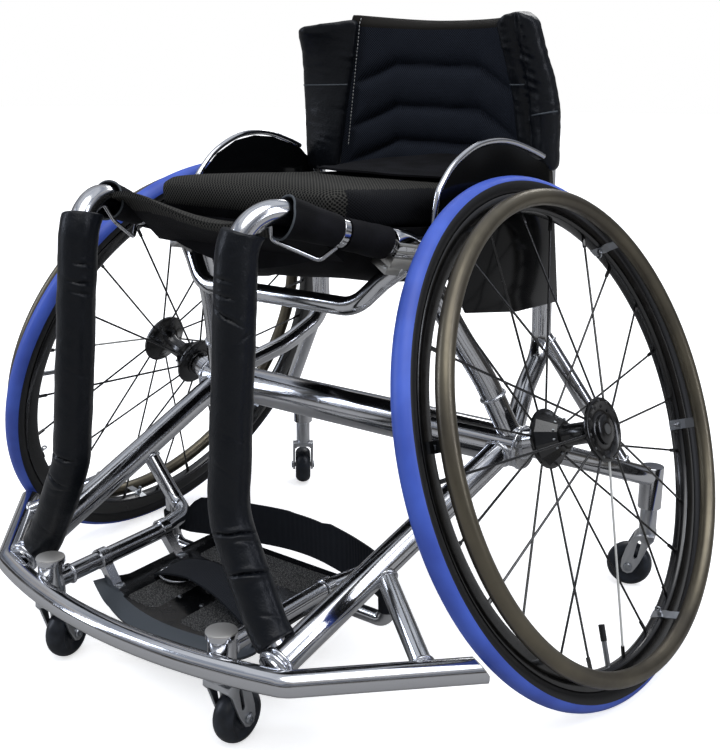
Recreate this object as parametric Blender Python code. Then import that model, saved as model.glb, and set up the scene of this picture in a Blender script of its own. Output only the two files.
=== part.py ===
# Court wheelchair for basketball: welded polished tube frame with a wing bumper, two cambered
# main wheels with handrims, two front casters and two rear anti-tip casters.
# Metres, +Z up, floor at Z = 0, front towards -Y, the sitter's left towards +X.
# Points of the frame are written from the main axle line, which lies AXLE_Y behind the origin,
# in the frame's own axes. The frame then stands FRAME_PITCH nose down about that line.
import math

import bmesh
import bpy
from mathutils import Matrix, Vector

# Clearances
GAP = 0.0003

# How far the frame stands nose down on its casters, against its own axes
FRAME_PITCH = math.radians(3.2)

# Main wheels
TYRE_RADIUS = 0.3045
TYRE_SECTION = 0.0125
CAMBER = math.radians(20)
BEAM_HALF = 0.266
WHEEL_STANDOFF = 0.0581
WHEEL_X = BEAM_HALF + WHEEL_STANDOFF
WHEEL_FACETS = 48
TYRE_SIDES = 8
RIM_HALF_WIDTH = 0.010
RIM_DEPTH = 0.0185
RIM_LIP = 0.0026
SPOKES = 24
SPOKE_RADIUS = 0.0013
SPOKE_PHASE = math.radians(6.3)
HANDRIM_RADIUS = 0.2798
HANDRIM_TUBE = 0.0096
HANDRIM_OFFSET = 0.0331
HANDRIM_FACETS = 36
HANDRIM_SIDES = 6
TABS = 6
TAB_WIDTH = 0.014
TAB_THICKNESS = 0.0026
HUB_FACETS = 16
HUB_INNER = 0.036
HUB_OUTER = 0.0475
HUB_FLANGE = 0.0355
HUB_WAIST = 0.0125
AXLE_RADIUS = 0.00635
AXLE_REACH = 0.088
RECEIVER_RADIUS = 0.017
RECEIVER_REACH = 0.100

# Frame tubes, as outer radii
BEAM_RADIUS = 0.025
BEAM_Z = 0.258
SIDE_RADIUS = 0.0165
POST_RADIUS = 0.014
RAIL_RADIUS = 0.013
CANE_RADIUS = 0.0127
BRACE_RADIUS = 0.0105
ARM_RADIUS = 0.013
BUMPER_RADIUS = 0.0135
STRUT_RADIUS = 0.0108
CROSS_RADIUS = 0.011
LOOP_RADIUS = 0.009
CALF_RADIUS = 0.009
PAD_RADIUS = 0.0208
HOOK_RADIUS = 0.0025
COLLAR_RADIUS = 0.0158
COLLAR_LENGTH = 0.008
COLLAR_Y = -0.200
CLAMP_RADIUS = 0.0175
CLAMP_LENGTH = 0.030
CLAMP_Y = -0.113

# Bumper
BUMPER_Z = 0.129
BUMPER_FRONT = 0.427
BUMPER_CORNER_X = 0.228
BUMPER_CORNER_Y = 0.392
BUMPER_END_X = 0.372
BUMPER_END_Y = 0.255
BUMPER_TYRE_GAP = 0.004

# Casters, measured upright from the floor
CASTER_RADIUS = 0.031
CASTER_WIDTH = 0.026
CASTER_FACETS = 16
CASTER_TRAIL = 0.021
FORK_GAP = 0.001
BLADE = 0.0034
CROWN_TOP = 0.080
CROWN_BOTTOM = 0.0735
FORK_SIDE = (
    (-0.0115, 0.0735),
    (-0.0110, 0.0800),
    (0.0060, 0.0800),
    (0.0140, 0.0775),
    (0.0190, 0.0720),
    (0.0255, 0.0580),
    (0.0295, 0.0440),
    (0.0305, 0.0310),
    (0.0275, 0.0242),
    (0.0210, 0.0215),
    (0.0145, 0.0242),
    (0.0105, 0.0305),
    (0.0055, 0.0395),
    (-0.0050, 0.0660),
)
FORK_SLOT = ((0.0078, 0.0700), (0.0118, 0.0470))
SLOT_HALF = 0.0026
NECK_RADIUS = 0.0115
STEM_RADIUS = 0.006
BOLT_RADIUS = 0.004
BOLT_HEAD = 0.0062
FRONT_CASTER_X = 0.1414
FRONT_CASTER_Y = -0.3814
FRONT_BARREL_RADIUS = 0.015
FRONT_BARREL_BOTTOM = 0.0885
FRONT_BARREL_TOP = 0.1284
FRONT_CAP_RADIUS = 0.0168
FRONT_CAP_TOP = 0.1364
REAR_CASTER_X = 0.3165
REAR_CASTER_Y = 0.2649
REAR_BARREL_RADIUS = 0.0158
REAR_BARREL_BOTTOM = 0.117
REAR_BARREL_TOP = 0.1765
# The furthest back that a rear caster's wheel reaches as it stands, from the axle line
REAR_REACH = 0.30745

# Seat
SEAT_FRONT_Y = -0.186
SEAT_REAR_Y = 0.148
CUSHION_FRONT_TOP = 0.581
CUSHION_REAR_TOP = 0.566
CUSHION_THICKNESS = 0.052
CUSHION_CROWN = 0.006
SLING_THICKNESS = 0.056
SLING_REAR_DROP = 0.024
SLEEVE_RADIUS = 0.0172
CUFF_BAG = 0.009
SLEEVES = ((-0.262, -0.207), (-0.188, -0.134))
# Rows of the sling's front apron: Y position, sag of its middle, thickness
APRON = (
    (-0.182, 0.0, 0.030),
    (-0.212, 0.006, 0.018),
    (-0.240, 0.011, 0.010),
    (-0.268, 0.016, 0.006),
)
CANE_X = 0.190
CANE_Y = 0.170
CANE_BEND = 0.645
CANE_TOP = 0.733
CANE_TOP_X = 0.1735
CANE_TOP_Y = 0.149
BACK_TOP = 0.750
BACK_BOTTOM = 0.520
BACK_THICKNESS = 0.023
BACK_FRONT_Y = 0.166
WING_RADIUS = 0.0185
WING_TOP = 0.756
WING_BOTTOM = 0.573
WING_FALL = 0.011

# Guards
PANEL_THICKNESS = 0.003
GUARD_TUBE = 0.0035
GUARD_TILT = 0.073

# Foot support
PLATE_TOP = 0.098
PLATE_THICKNESS = 0.008
PLATE_HALF = 0.121
PLATE_FRONT = -0.368
PLATE_REAR = -0.140
FOOT_CLAMP = 0.013
CALF_Z = 0.076
CALF_Y = -0.165
CALF_X = 0.182
CALF_LEG_TOP = 0.150
STRAP_THICKNESS = 0.003
CALF_STRAP_BOTTOM = 0.087
CALF_STRAP_TOP = 0.141

# Places that follow from the sizes
TYRE_CENTRE = TYRE_RADIUS - TYRE_SECTION
WHEEL_LEAN = math.asin(math.sin(CAMBER) * math.cos(FRAME_PITCH))
WHEEL_Z = TYRE_CENTRE * math.cos(WHEEL_LEAN) + TYRE_SECTION
SETTLE = (
    Matrix.Translation((0, 0, WHEEL_Z))
    @ Matrix.Rotation(FRAME_PITCH, 4, "X")
    @ Matrix.Translation((0, 0, -WHEEL_Z))
)
RIM_SEAT = TYRE_CENTRE - TYRE_SECTION * math.cos(math.pi / TYRE_SIDES) - GAP
RIM_INNER = RIM_SEAT - RIM_DEPTH
FRONT_FACE = BUMPER_RADIUS - (SETTLE @ Vector((0, -BUMPER_FRONT, BUMPER_Z))).y
AXLE_Y = (FRONT_FACE - REAR_REACH) / 2
CASTER_PLACES = {
    "front": (FRONT_CASTER_X, FRONT_CASTER_Y, FRONT_BARREL_BOTTOM, FRONT_BARREL_TOP),
    "rear": (REAR_CASTER_X, REAR_CASTER_Y, REAR_BARREL_BOTTOM, REAR_BARREL_TOP),
}
# Heading of each wheel from its swivel axis, in degrees from +X towards +Y, as it stands at rest
CASTER_HEADINGS = {
    ("front", "left"): 94.0,
    ("front", "right"): 106.0,
    ("rear", "left"): 197.0,
    ("rear", "right"): 132.5,
}
SIDES = {"left": 1, "right": -1}


def clear_scene():
    for thing in list(bpy.data.objects):
        bpy.data.objects.remove(thing, do_unlink=True)


def new_material(name, color, roughness, metallic):
    material = bpy.data.materials.new(name)
    material.use_nodes = True
    shader = material.node_tree.nodes["Principled BSDF"]
    shader.inputs["Base Color"].default_value = (*color, 1)
    shader.inputs["Roughness"].default_value = roughness
    shader.inputs["Metallic"].default_value = metallic
    return material


def add_object(name, mesh, material=None, parent=None):
    thing = bpy.data.objects.new(name, mesh)
    bpy.context.scene.collection.objects.link(thing)
    if material:
        mesh.materials.clear()
        mesh.materials.append(material)
    if parent:
        thing.parent = parent
    return thing


def add_empty(name, matrix, parent=None):
    thing = bpy.data.objects.new(name, None)
    bpy.context.scene.collection.objects.link(thing)
    thing.parent = parent
    thing.matrix_local = matrix
    return thing


def mesh_from(bm, name):
    bmesh.ops.remove_doubles(bm, verts=bm.verts, dist=0.000001)
    bmesh.ops.recalc_face_normals(bm, faces=bm.faces)
    mesh = bpy.data.meshes.new(name)
    bm.to_mesh(mesh)
    bm.free()
    return mesh


def turned(name, profile, facets):
    """Revolves a closed outline of (radius, height) points about Z, starting at +X."""
    bm = bmesh.new()
    points = [bm.verts.new((radius, 0, height)) for radius, height in profile]
    edges = [
        bm.edges.new((points[i], points[(i + 1) % len(points)]))
        for i in range(len(points))
        if max(profile[i][0], profile[(i + 1) % len(points)][0]) > 0.000001
    ]
    bmesh.ops.spin(
        bm,
        geom=points + edges,
        cent=(0, 0, 0),
        axis=(0, 0, 1),
        angle=2 * math.pi,
        steps=facets,
        use_merge=True,
        use_duplicate=False,
    )
    return mesh_from(bm, name)


def rod(name, radius, low, high, facets):
    """A plain cylinder along Z."""
    return turned(name, [(0, low), (radius, low), (radius, high), (0, high)], facets)


def route(points, radii=0.03, step=15):
    """The straight runs through points, with each corner rounded to its bend radius."""
    points = [Vector(p) for p in points]
    if not isinstance(radii, (list, tuple)):
        radii = [radii] * (len(points) - 2)
    path = [points[0]]
    for before, corner, after, radius in zip(points, points[1:], points[2:], radii):
        back = (before - corner).normalized()
        ahead = (after - corner).normalized()
        turn = math.pi - back.angle(ahead)
        if turn < math.radians(2):
            path.append(corner)
            continue
        reach = radius * math.tan(turn / 2)
        longest = 0.49 * min((before - corner).length, (after - corner).length)
        if reach > longest:
            radius *= longest / reach
            reach = longest
        centre = corner + (back + ahead).normalized() * radius / math.cos(turn / 2)
        start = corner + back * reach - centre
        axis = back.cross(ahead).normalized()
        count = max(2, round(math.degrees(turn) / step))
        for i in range(count + 1):
            path.append(centre + Matrix.Rotation(-turn * i / count, 3, axis) @ start)
    path.append(points[-1])
    return path


def portion(path, start, end):
    """The part of a path between two lengths along it."""
    part = []
    done = 0.0
    for a, b in zip(path, path[1:]):
        length = (b - a).length
        if done <= start <= done + length:
            part.append(a.lerp(b, (start - done) / length))
        if start < done + length < end:
            part.append(b.copy())
        if done <= end <= done + length:
            part.append(a.lerp(b, (end - done) / length))
            break
        done += length
    return part


def path_length(path):
    return sum((b - a).length for a, b in zip(path, path[1:]))


def length_at_height(path, height):
    """How far along the path it first passes down through a height."""
    done = 0.0
    for a, b in zip(path, path[1:]):
        if a.z >= height > b.z:
            return done + (b - a).length * (a.z - height) / (a.z - b.z)
        done += (b - a).length
    return done


def mirrored(path):
    return [Vector((-p[0], p[1], p[2])) for p in path]


def tube(name, path, radius, roundness=2):
    """A round bar along a path: a curve with a bevel and filled caps, turned into a mesh."""
    curve = bpy.data.curves.new(name, "CURVE")
    curve.dimensions = "3D"
    curve.bevel_depth = radius
    curve.bevel_resolution = roundness
    curve.use_fill_caps = True
    spline = curve.splines.new("POLY")
    spline.points.add(len(path) - 1)
    for point, place in zip(spline.points, path):
        point.co = (*place, 1)
    guide = bpy.data.objects.new(name, curve)
    bpy.context.scene.collection.objects.link(guide)
    graph = bpy.context.evaluated_depsgraph_get()
    found = bpy.data.meshes.new_from_object(guide.evaluated_get(graph))
    bm = bmesh.new()
    bm.from_mesh(found)
    bpy.data.objects.remove(guide, do_unlink=True)
    bpy.data.curves.remove(curve)
    bpy.data.meshes.remove(found)
    return mesh_from(bm, name)


def extruded(name, outline, low, high):
    """A flat outline of (x, y) points raised from low to high along Z."""
    bm = bmesh.new()
    face = bm.faces.new([bm.verts.new((x, y, low)) for x, y in outline])
    made = bmesh.ops.extrude_face_region(bm, geom=[face])
    raised = [v for v in made["geom"] if isinstance(v, bmesh.types.BMVert)]
    bmesh.ops.translate(bm, verts=raised, vec=(0, 0, high - low))
    bmesh.ops.triangulate(bm, faces=[f for f in bm.faces if len(f.verts) > 4])
    return mesh_from(bm, name)


def lofted(name, rings):
    """A closed solid through rings that all have the same number of points."""
    bm = bmesh.new()
    rows = [[bm.verts.new(p) for p in ring] for ring in rings]
    count = len(rows[0])
    for lower, upper in zip(rows, rows[1:]):
        for i in range(count):
            j = (i + 1) % count
            bm.faces.new((lower[i], lower[j], upper[j], upper[i]))
    bm.faces.new(rows[0])
    bm.faces.new(rows[-1])
    return mesh_from(bm, name)


def layer(name, across, along, under, over):
    """A solid between two surfaces given as functions of (u, v), each from 0 to 1."""
    bm = bmesh.new()
    grids = []
    for surface in (under, over):
        grids.append(
            [
                [bm.verts.new(surface(i / across, j / along)) for j in range(along + 1)]
                for i in range(across + 1)
            ]
        )
    for grid in grids:
        for i in range(across):
            for j in range(along):
                bm.faces.new(
                    (grid[i][j], grid[i + 1][j], grid[i + 1][j + 1], grid[i][j + 1])
                )
    low, high = grids
    border = [(i, 0) for i in range(across)]
    border += [(across, j) for j in range(along)]
    border += [(i, along) for i in range(across, 0, -1)]
    border += [(0, j) for j in range(along, 0, -1)]
    for here, there in zip(border, border[1:] + border[:1]):
        bm.faces.new(
            (
                low[here[0]][here[1]],
                low[there[0]][there[1]],
                high[there[0]][there[1]],
                high[here[0]][here[1]],
            )
        )
    return mesh_from(bm, name)


def moved(mesh, matrix):
    mesh.transform(matrix)
    if matrix.determinant() < 0:
        mesh.flip_normals()
    return mesh


def combined(name, base, joined=(), removed=()):
    """Joins meshes to a base and cuts others out of it with exact Booleans."""
    thing = add_object(name + "_work", base)
    helpers = []
    for operation, meshes in (("UNION", joined), ("DIFFERENCE", removed)):
        for mesh in meshes:
            helper = add_object(name + "_helper", mesh)
            helper.hide_render = True
            helper.display_type = "WIRE"
            modifier = thing.modifiers.new(operation.title(), "BOOLEAN")
            modifier.operation = operation
            modifier.solver = "EXACT"
            modifier.object = helper
            helpers.append(helper)
    bpy.context.view_layer.update()
    graph = bpy.context.evaluated_depsgraph_get()
    found = bpy.data.meshes.new_from_object(thing.evaluated_get(graph))
    bm = bmesh.new()
    bm.from_mesh(found)
    bpy.data.objects.remove(thing, do_unlink=True)
    for helper in helpers:
        bpy.data.objects.remove(helper, do_unlink=True)
    bpy.data.meshes.remove(found)
    bmesh.ops.dissolve_limit(
        bm, angle_limit=math.radians(0.2), verts=bm.verts, edges=bm.edges
    )
    bmesh.ops.triangulate(bm, faces=[f for f in bm.faces if len(f.verts) > 4])
    return mesh_from(bm, name)


def shade(thing, degrees=35):
    thing.data.shade_smooth()
    thing.data.set_sharp_from_angle(angle=math.radians(degrees))


def part(name, mesh, material, parent):
    thing = add_object(name, mesh, material, parent)
    shade(thing)
    return thing


# Frame paths, from the axle line, for the +X side
def on_wheel_axis(distance, side=1):
    """A point on a wheel's axis, at a distance outboard of the wheel's centre."""
    return Vector(
        (
            side * (WHEEL_X + distance * math.cos(CAMBER)),
            0,
            WHEEL_Z + distance * math.sin(CAMBER),
        )
    )


JUNCTION = Vector((0.250, 0, BEAM_Z + 0.004))
SIDE_FRONT = Vector((0.2068, -0.388, 0.1335))
POST_TOP = Vector((0.174, -0.097, 0.500))
RAIL_REAR = Vector((CANE_X, CANE_Y - 0.002, 0.474))
RAIL_MID = Vector((0.175, -0.112, 0.507))
RAIL_COLLAR = Vector((0.156, -0.200, 0.534))
RAIL_BEND = Vector((0.121, -0.310, 0.584))
LEG_KNEE = Vector((0.1270, -0.3565, 0.266))
LEG_TOE = Vector((0.184, -0.3655, 0.160))
LEG_END = Vector((0.2045, -0.3675, 0.1405))

SIDE_PATH = [JUNCTION + Vector((-0.008, 0, -0.003)), SIDE_FRONT]
POST_PATH = route(
    [JUNCTION, (0.224, -0.024, 0.342), (0.200, -0.0515, 0.4045), POST_TOP], 0.25, 6
)
RAIL_PATH = route(
    [RAIL_REAR, RAIL_MID, RAIL_COLLAR, RAIL_BEND, LEG_KNEE, LEG_TOE, LEG_END],
    [0.3, 0.3, 0.062, 0.09, 0.06],
    17,
)
CANE_PATH = route(
    [
        JUNCTION + Vector((-0.005, 0, 0)),
        (0.205, 0.101, 0.294),
        (CANE_X, CANE_Y - 0.001, 0.326),
        (CANE_X, CANE_Y, CANE_BEND),
        (CANE_TOP_X, CANE_TOP_Y, CANE_TOP),
    ],
    [0.15, 0.045, 0.20],
    16,
)
UNSETTLE = SETTLE.inverted()
ARM_PATH = [JUNCTION, UNSETTLE @ Vector((REAR_CASTER_X, REAR_CASTER_Y, 0.1605))]
BRACE_PATH = [
    Vector((CANE_X, CANE_Y, 0.352)),
    ARM_PATH[0].lerp(ARM_PATH[1], 0.8),
]
CROSS_PATH = route(
    [
        (0.172, -0.112, 0.486),
        (0.150, -0.123, 0.468),
        (0.122, -0.137, 0.438),
        (-0.122, -0.137, 0.438),
        (-0.150, -0.123, 0.468),
        (-0.172, -0.112, 0.486),
    ],
    [0.03, 0.04, 0.04, 0.03],
    18,
)
LOOP_PATH = route(
    [
        (FRONT_CASTER_X - 0.008, -0.3865, BUMPER_Z + 0.001),
        (0.1355, -0.232, BUMPER_Z + 0.001),
        (0.150, -0.172, BUMPER_Z + 0.002),
        (0.176, CALF_Y, 0.143),
        SIDE_PATH[0].lerp(SIDE_PATH[1], CALF_Y / SIDE_FRONT.y),
    ],
    [0.08, 0.04, 0.05],
    18,
)
CALF_PATH = route(
    [
        (CALF_X, CALF_Y, CALF_LEG_TOP),
        (CALF_X, CALF_Y, CALF_Z),
        (-CALF_X, CALF_Y, CALF_Z),
        (-CALF_X, CALF_Y, CALF_LEG_TOP),
    ],
    0.016,
    30,
)


HOOK_PATH = route(
    [
        (0.130, -0.274, 0.556),
        (0.1222, -0.266, 0.534),
        (0.1455, -0.2215, 0.508),
        (0.1562, -0.2065, 0.5205),
    ],
    0.008,
    35,
)


def bumper_path():
    """Straight ends that meet a shallow arc across the front."""
    rise = BUMPER_FRONT - BUMPER_CORNER_Y
    bow = (BUMPER_CORNER_X**2 + rise**2) / (2 * rise)
    spread = math.asin(BUMPER_CORNER_X / bow)
    front = []
    for i in range(-3, 4):
        turn = spread * i / 3
        front.append(
            Vector(
                (
                    -bow * math.sin(turn),
                    -BUMPER_FRONT + bow * (1 - math.cos(turn)),
                    BUMPER_Z,
                )
            )
        )
    ends = [Vector((side * BUMPER_END_X, -BUMPER_END_Y, BUMPER_Z)) for side in (1, -1)]
    return route([ends[0], *front, ends[1]], 0.05, 10)


BUMPER_PATH = bumper_path()
STRUT_PATH = [
    Vector((0.328, -0.2965, BUMPER_Z)),
    SIDE_PATH[0].lerp(SIDE_PATH[1], 0.585),
]


def rail_at(y):
    """The rail's centre line where it passes a Y position."""
    for a, b in zip(RAIL_PATH, RAIL_PATH[1:]):
        if a.y >= y > b.y:
            return a.lerp(b, (a.y - y) / (a.y - b.y))
    return RAIL_PATH[0]


def bore(radius, facets):
    """Corner radius of a faceted hole whose flats clear a shaft."""
    return (radius + GAP) / math.cos(math.pi / facets)


# Wheels
def tyre_mesh(name):
    profile = []
    for i in range(TYRE_SIDES):
        turn = 2 * math.pi * (i + 0.5) / TYRE_SIDES
        profile.append(
            (
                TYRE_CENTRE + TYRE_SECTION * math.cos(turn),
                TYRE_SECTION * math.sin(turn),
            )
        )
    return turned(name, profile, WHEEL_FACETS)


def rim_mesh(name):
    seat = TYRE_SECTION * math.sin(math.pi / TYRE_SIDES)
    lip = RIM_SEAT + RIM_LIP
    half = RIM_HALF_WIDTH
    profile = [
        (RIM_INNER, -0.9 * half),
        (lip, -half),
        (RIM_SEAT, -seat),
        (RIM_SEAT, seat),
        (lip, half),
        (RIM_INNER, 0.9 * half),
    ]
    return turned(name, profile, WHEEL_FACETS)


def wheel_turn(degrees_or_radians, side):
    """Direction in a wheel's plane, from its front edge up over its top."""
    return Vector(
        (-side * math.sin(degrees_or_radians), -math.cos(degrees_or_radians), 0)
    )


def hub_mesh(name, side):
    hole = bore(AXLE_RADIUS, HUB_FACETS)
    inner_spoke = -HUB_INNER + 0.005
    outer_spoke = HUB_OUTER - 0.006
    profile = [
        (hole, -HUB_INNER),
        (HUB_FLANGE * 0.5, -HUB_INNER),
        (HUB_FLANGE * 0.97, -HUB_INNER + 0.002),
        (HUB_FLANGE, inner_spoke + 0.002),
        (HUB_WAIST * 1.1, -0.009),
        (HUB_WAIST, 0.020),
        (HUB_WAIST * 1.3, outer_spoke - 0.008),
        (HUB_FLANGE * 0.97, outer_spoke - 0.003),
        (HUB_FLANGE * 1.03, outer_spoke),
        (HUB_FLANGE * 0.97, outer_spoke + 0.005),
        (HUB_WAIST, HUB_OUTER),
        (hole, HUB_OUTER),
    ]
    body = turned(name, profile, HUB_FACETS)
    end = RIM_INNER * math.cos(math.pi / WHEEL_FACETS) - GAP
    spokes = bmesh.new()
    for i in range(SPOKES):
        direction = wheel_turn(SPOKE_PHASE + 2 * math.pi * i / SPOKES, side)
        offset = outer_spoke if i % 2 == 0 else inner_spoke
        start = direction * (HUB_FLANGE - 0.005) + Vector((0, 0, offset))
        finish = direction * end
        spoke = tube("spoke", [start, finish], SPOKE_RADIUS, 0)
        spokes.from_mesh(spoke)
        bpy.data.meshes.remove(spoke)
    return combined(name, body, joined=[mesh_from(spokes, "spokes")])


def handrim_mesh(name, side):
    centre = HANDRIM_RADIUS - HANDRIM_TUBE
    profile = []
    for i in range(HANDRIM_SIDES):
        turn = 2 * math.pi * i / HANDRIM_SIDES
        profile.append(
            (
                centre + HANDRIM_TUBE * math.cos(turn),
                HANDRIM_OFFSET + HANDRIM_TUBE * math.sin(turn),
            )
        )
    ring = turned(name, profile, HANDRIM_FACETS)
    top = RIM_INNER * math.cos(math.pi / WHEEL_FACETS) - GAP - 0.0001
    low = top - TAB_THICKNESS
    rise = centre - HANDRIM_TUBE * 0.75 - low
    outline = [
        (low, -0.7 * RIM_HALF_WIDTH),
        (low, RIM_HALF_WIDTH),
        (low + rise, HANDRIM_OFFSET - 0.002),
        (low + rise + 1.6 * TAB_THICKNESS, HANDRIM_OFFSET - 0.004),
        (top, RIM_HALF_WIDTH),
        (top, -0.7 * RIM_HALF_WIDTH),
    ]
    tabs = []
    for i in range(TABS):
        turn = SPOKE_PHASE + math.pi / SPOKES + 2 * math.pi * i / TABS
        tab = extruded("tab", outline, -TAB_WIDTH / 2, TAB_WIDTH / 2)
        outward = wheel_turn(turn, side)
        up = Vector((0, 0, 1))
        tangent = outward.cross(up)
        frame = Matrix((outward, up, tangent)).transposed().to_4x4()
        tabs.append(moved(tab, frame))
    return combined(name, ring, joined=tabs)


def make_wheel(side_name, materials, chair):
    side = SIDES[side_name]
    tilt = Matrix.Rotation(side * (math.pi / 2 - CAMBER), 4, "Y")
    place = Matrix.Translation(on_wheel_axis(0, side)) @ tilt
    centre = add_empty("wheel_centre_" + side_name, place, chair)
    part("tyre_" + side_name, tyre_mesh("tyre"), materials["tyre"], centre)
    part("rim_" + side_name, rim_mesh("rim"), materials["black"], centre)
    part("hub_" + side_name, hub_mesh("hub", side), materials["black"], centre)
    part(
        "handrim_" + side_name, handrim_mesh("handrim", side), materials["grey"], centre
    )
    axle = rod("axle", AXLE_RADIUS, -AXLE_REACH, HUB_OUTER + 0.0006, 12)
    part("axle_" + side_name, axle, materials["steel"], centre)


# Casters
def fork_mesh(name, barrel_bottom, barrel_top):
    """The profile of a fork blade drawn out to the fork's width, then opened for the wheel."""
    inner = CASTER_WIDTH / 2 + FORK_GAP
    half = inner + BLADE
    # The outline's second coordinate stands up and its third runs across the fork.
    stand = Matrix(((1, 0, 0, 0), (0, 0, -1, 0), (0, 1, 0, 0), (0, 0, 0, 1)))
    body = moved(extruded(name, FORK_SIDE, -half, half), stand)
    opening = [
        (-inner, -0.01),
        (inner, -0.01),
        (inner, CROWN_BOTTOM - 0.005),
        (inner - 0.005, CROWN_BOTTOM),
        (-inner + 0.005, CROWN_BOTTOM),
        (-inner, CROWN_BOTTOM - 0.005),
    ]
    # This outline runs across the fork and is drawn out along it.
    across = Matrix(((0, 0, 1, 0), (1, 0, 0, 0), (0, 1, 0, 0), (0, 0, 0, 1)))
    channel = moved(extruded("channel", opening, -0.05, 0.08), across)
    top, low = (Vector(p) for p in FORK_SLOT)
    along = (low - top).normalized()
    wide = Vector((-along.y, along.x)) * SLOT_HALF
    end = along * SLOT_HALF
    slot_outline = [
        top + wide,
        top - end,
        top - wide,
        low - wide,
        low + end,
        low + wide,
    ]
    slot = moved(
        extruded("slot", [tuple(p) for p in slot_outline], -2 * half, 2 * half), stand
    )
    axle_hole = moved(
        rod("axle_hole", bore(BOLT_RADIUS, 10), -2 * half, 2 * half, 10),
        Matrix.Translation((CASTER_TRAIL, 0, CASTER_RADIUS))
        @ Matrix.Rotation(math.pi / 2, 4, "X"),
    )
    stem = turned(
        "stem",
        [
            (0, CROWN_TOP - 0.003),
            (NECK_RADIUS * 0.96, CROWN_TOP - 0.003),
            (NECK_RADIUS, CROWN_TOP + 0.002),
            (NECK_RADIUS, barrel_bottom - 0.0005),
            (STEM_RADIUS, barrel_bottom - 0.0005),
            (STEM_RADIUS, barrel_top - 0.008),
            (0, barrel_top - 0.008),
        ],
        12,
    )
    return combined(name, body, joined=[stem], removed=[channel, slot, axle_hole])


def caster_wheel_mesh(name):
    half = CASTER_WIDTH / 2
    hole = bore(BOLT_RADIUS, CASTER_FACETS)
    radius = CASTER_RADIUS
    profile = [
        (hole, -half),
        (radius * 0.34, -half),
        (radius * 0.48, -half * 0.74),
        (radius * 0.70, -half * 0.96),
        (radius * 0.90, -half * 0.74),
        (radius, -half * 0.26),
        (radius, half * 0.26),
        (radius * 0.90, half * 0.74),
        (radius * 0.70, half * 0.96),
        (radius * 0.48, half * 0.74),
        (radius * 0.34, half),
        (hole, half),
    ]
    return turned(name, profile, CASTER_FACETS)


def bolt_mesh(name):
    seat = CASTER_WIDTH / 2 + FORK_GAP + BLADE + GAP
    head = 0.002
    profile = [
        (0, -seat - head),
        (BOLT_HEAD, -seat - head),
        (BOLT_HEAD, -seat),
        (BOLT_RADIUS, -seat),
        (BOLT_RADIUS, seat),
        (BOLT_HEAD, seat),
        (BOLT_HEAD, seat + head),
        (0, seat + head),
    ]
    return turned(name, profile, 8)


def make_caster(end, side_name, materials, level):
    x, y, bottom, top = CASTER_PLACES[end]
    side = SIDES[side_name]
    heading = math.radians(CASTER_HEADINGS[(end, side_name)])
    swivel = add_empty(
        "%s_caster_swivel_%s" % (end, side_name),
        Matrix.Translation((side * x, y, 0)) @ Matrix.Rotation(heading, 4, "Z"),
        level,
    )
    stem_name = "%s_caster_" % end
    part(
        stem_name + "fork_" + side_name,
        fork_mesh("fork", bottom, top),
        materials["alloy"],
        swivel,
    )
    # The wheel's turning axis is the fork's local Y.
    roll = add_empty(
        "%s_caster_axle_%s" % (end, side_name),
        Matrix.Translation((CASTER_TRAIL, 0, CASTER_RADIUS))
        @ Matrix.Rotation(math.pi / 2, 4, "X"),
        swivel,
    )
    part(
        stem_name + "wheel_" + side_name,
        caster_wheel_mesh("caster_wheel"),
        materials["caster"],
        roll,
    )
    part(
        stem_name + "bolt_" + side_name, bolt_mesh("bolt"), materials["steel"], roll
    )


# Frame
def straight_bar(name, low, high, radius, facets):
    """A cylinder between two points."""
    low = Vector(low)
    high = Vector(high)
    turn = (high - low).to_track_quat("Z", "Y").to_matrix().to_4x4()
    bar = rod(name, radius, 0, (high - low).length, facets)
    return moved(bar, Matrix.Translation(low) @ turn)


def beam_bar(name, radius, half, facets=16):
    return straight_bar(
        name, (-half, 0, BEAM_Z), (half, 0, BEAM_Z), radius, facets
    )


def receiver_bar(name, side, radius, outer, facets=12):
    return straight_bar(
        name,
        on_wheel_axis(-RECEIVER_REACH, side),
        on_wheel_axis(outer, side),
        radius,
        facets,
    )


RECEIVER_END = -HUB_INNER - 0.0015


def beam_mesh(name):
    body = beam_bar(name, BEAM_RADIUS, BEAM_HALF)
    receivers = [
        receiver_bar("receiver", side, RECEIVER_RADIUS, RECEIVER_END)
        for side in (1, -1)
    ]
    holes = []
    for side in (1, -1):
        holes.append(
            straight_bar(
                "axle_hole",
                on_wheel_axis(-AXLE_REACH - 0.001, side),
                on_wheel_axis(0, side),
                bore(AXLE_RADIUS, 12),
                12,
            )
        )
    return combined(name, body, joined=receivers, removed=holes)


def near_beam(side):
    """Cutters that leave room for the beam and the axle receiver."""
    return [
        beam_bar("beam_room", clear_of(BEAM_RADIUS, 16), BEAM_HALF + GAP),
        receiver_bar(
            "receiver_room",
            side,
            clear_of(RECEIVER_RADIUS, 12),
            RECEIVER_END + GAP,
        ),
    ]


def sided(path, side):
    return [Vector(p) for p in path] if side > 0 else mirrored(path)


def clear_of(radius, facets):
    """Corner radius of a hole whose flats run evenly along a shaft with the same facets."""
    return radius + GAP / math.cos(math.pi / facets)


def room(path, radius, side, roundness=2):
    """A cutter a little larger than a tube, for what is coped against it."""
    return tube(
        "room", sided(path, side), clear_of(radius, 4 + 2 * roundness), roundness
    )


def barrel_bar(name, side, radius, low, high, facets=12):
    return straight_bar(
        name,
        (side * FRONT_CASTER_X, FRONT_CASTER_Y, low),
        (side * FRONT_CASTER_X, FRONT_CASTER_Y, high),
        radius,
        facets,
    )


def leaned(mesh):
    """Carries an upright mesh into the frame's own axes."""
    return moved(mesh, UNSETTLE)


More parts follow.
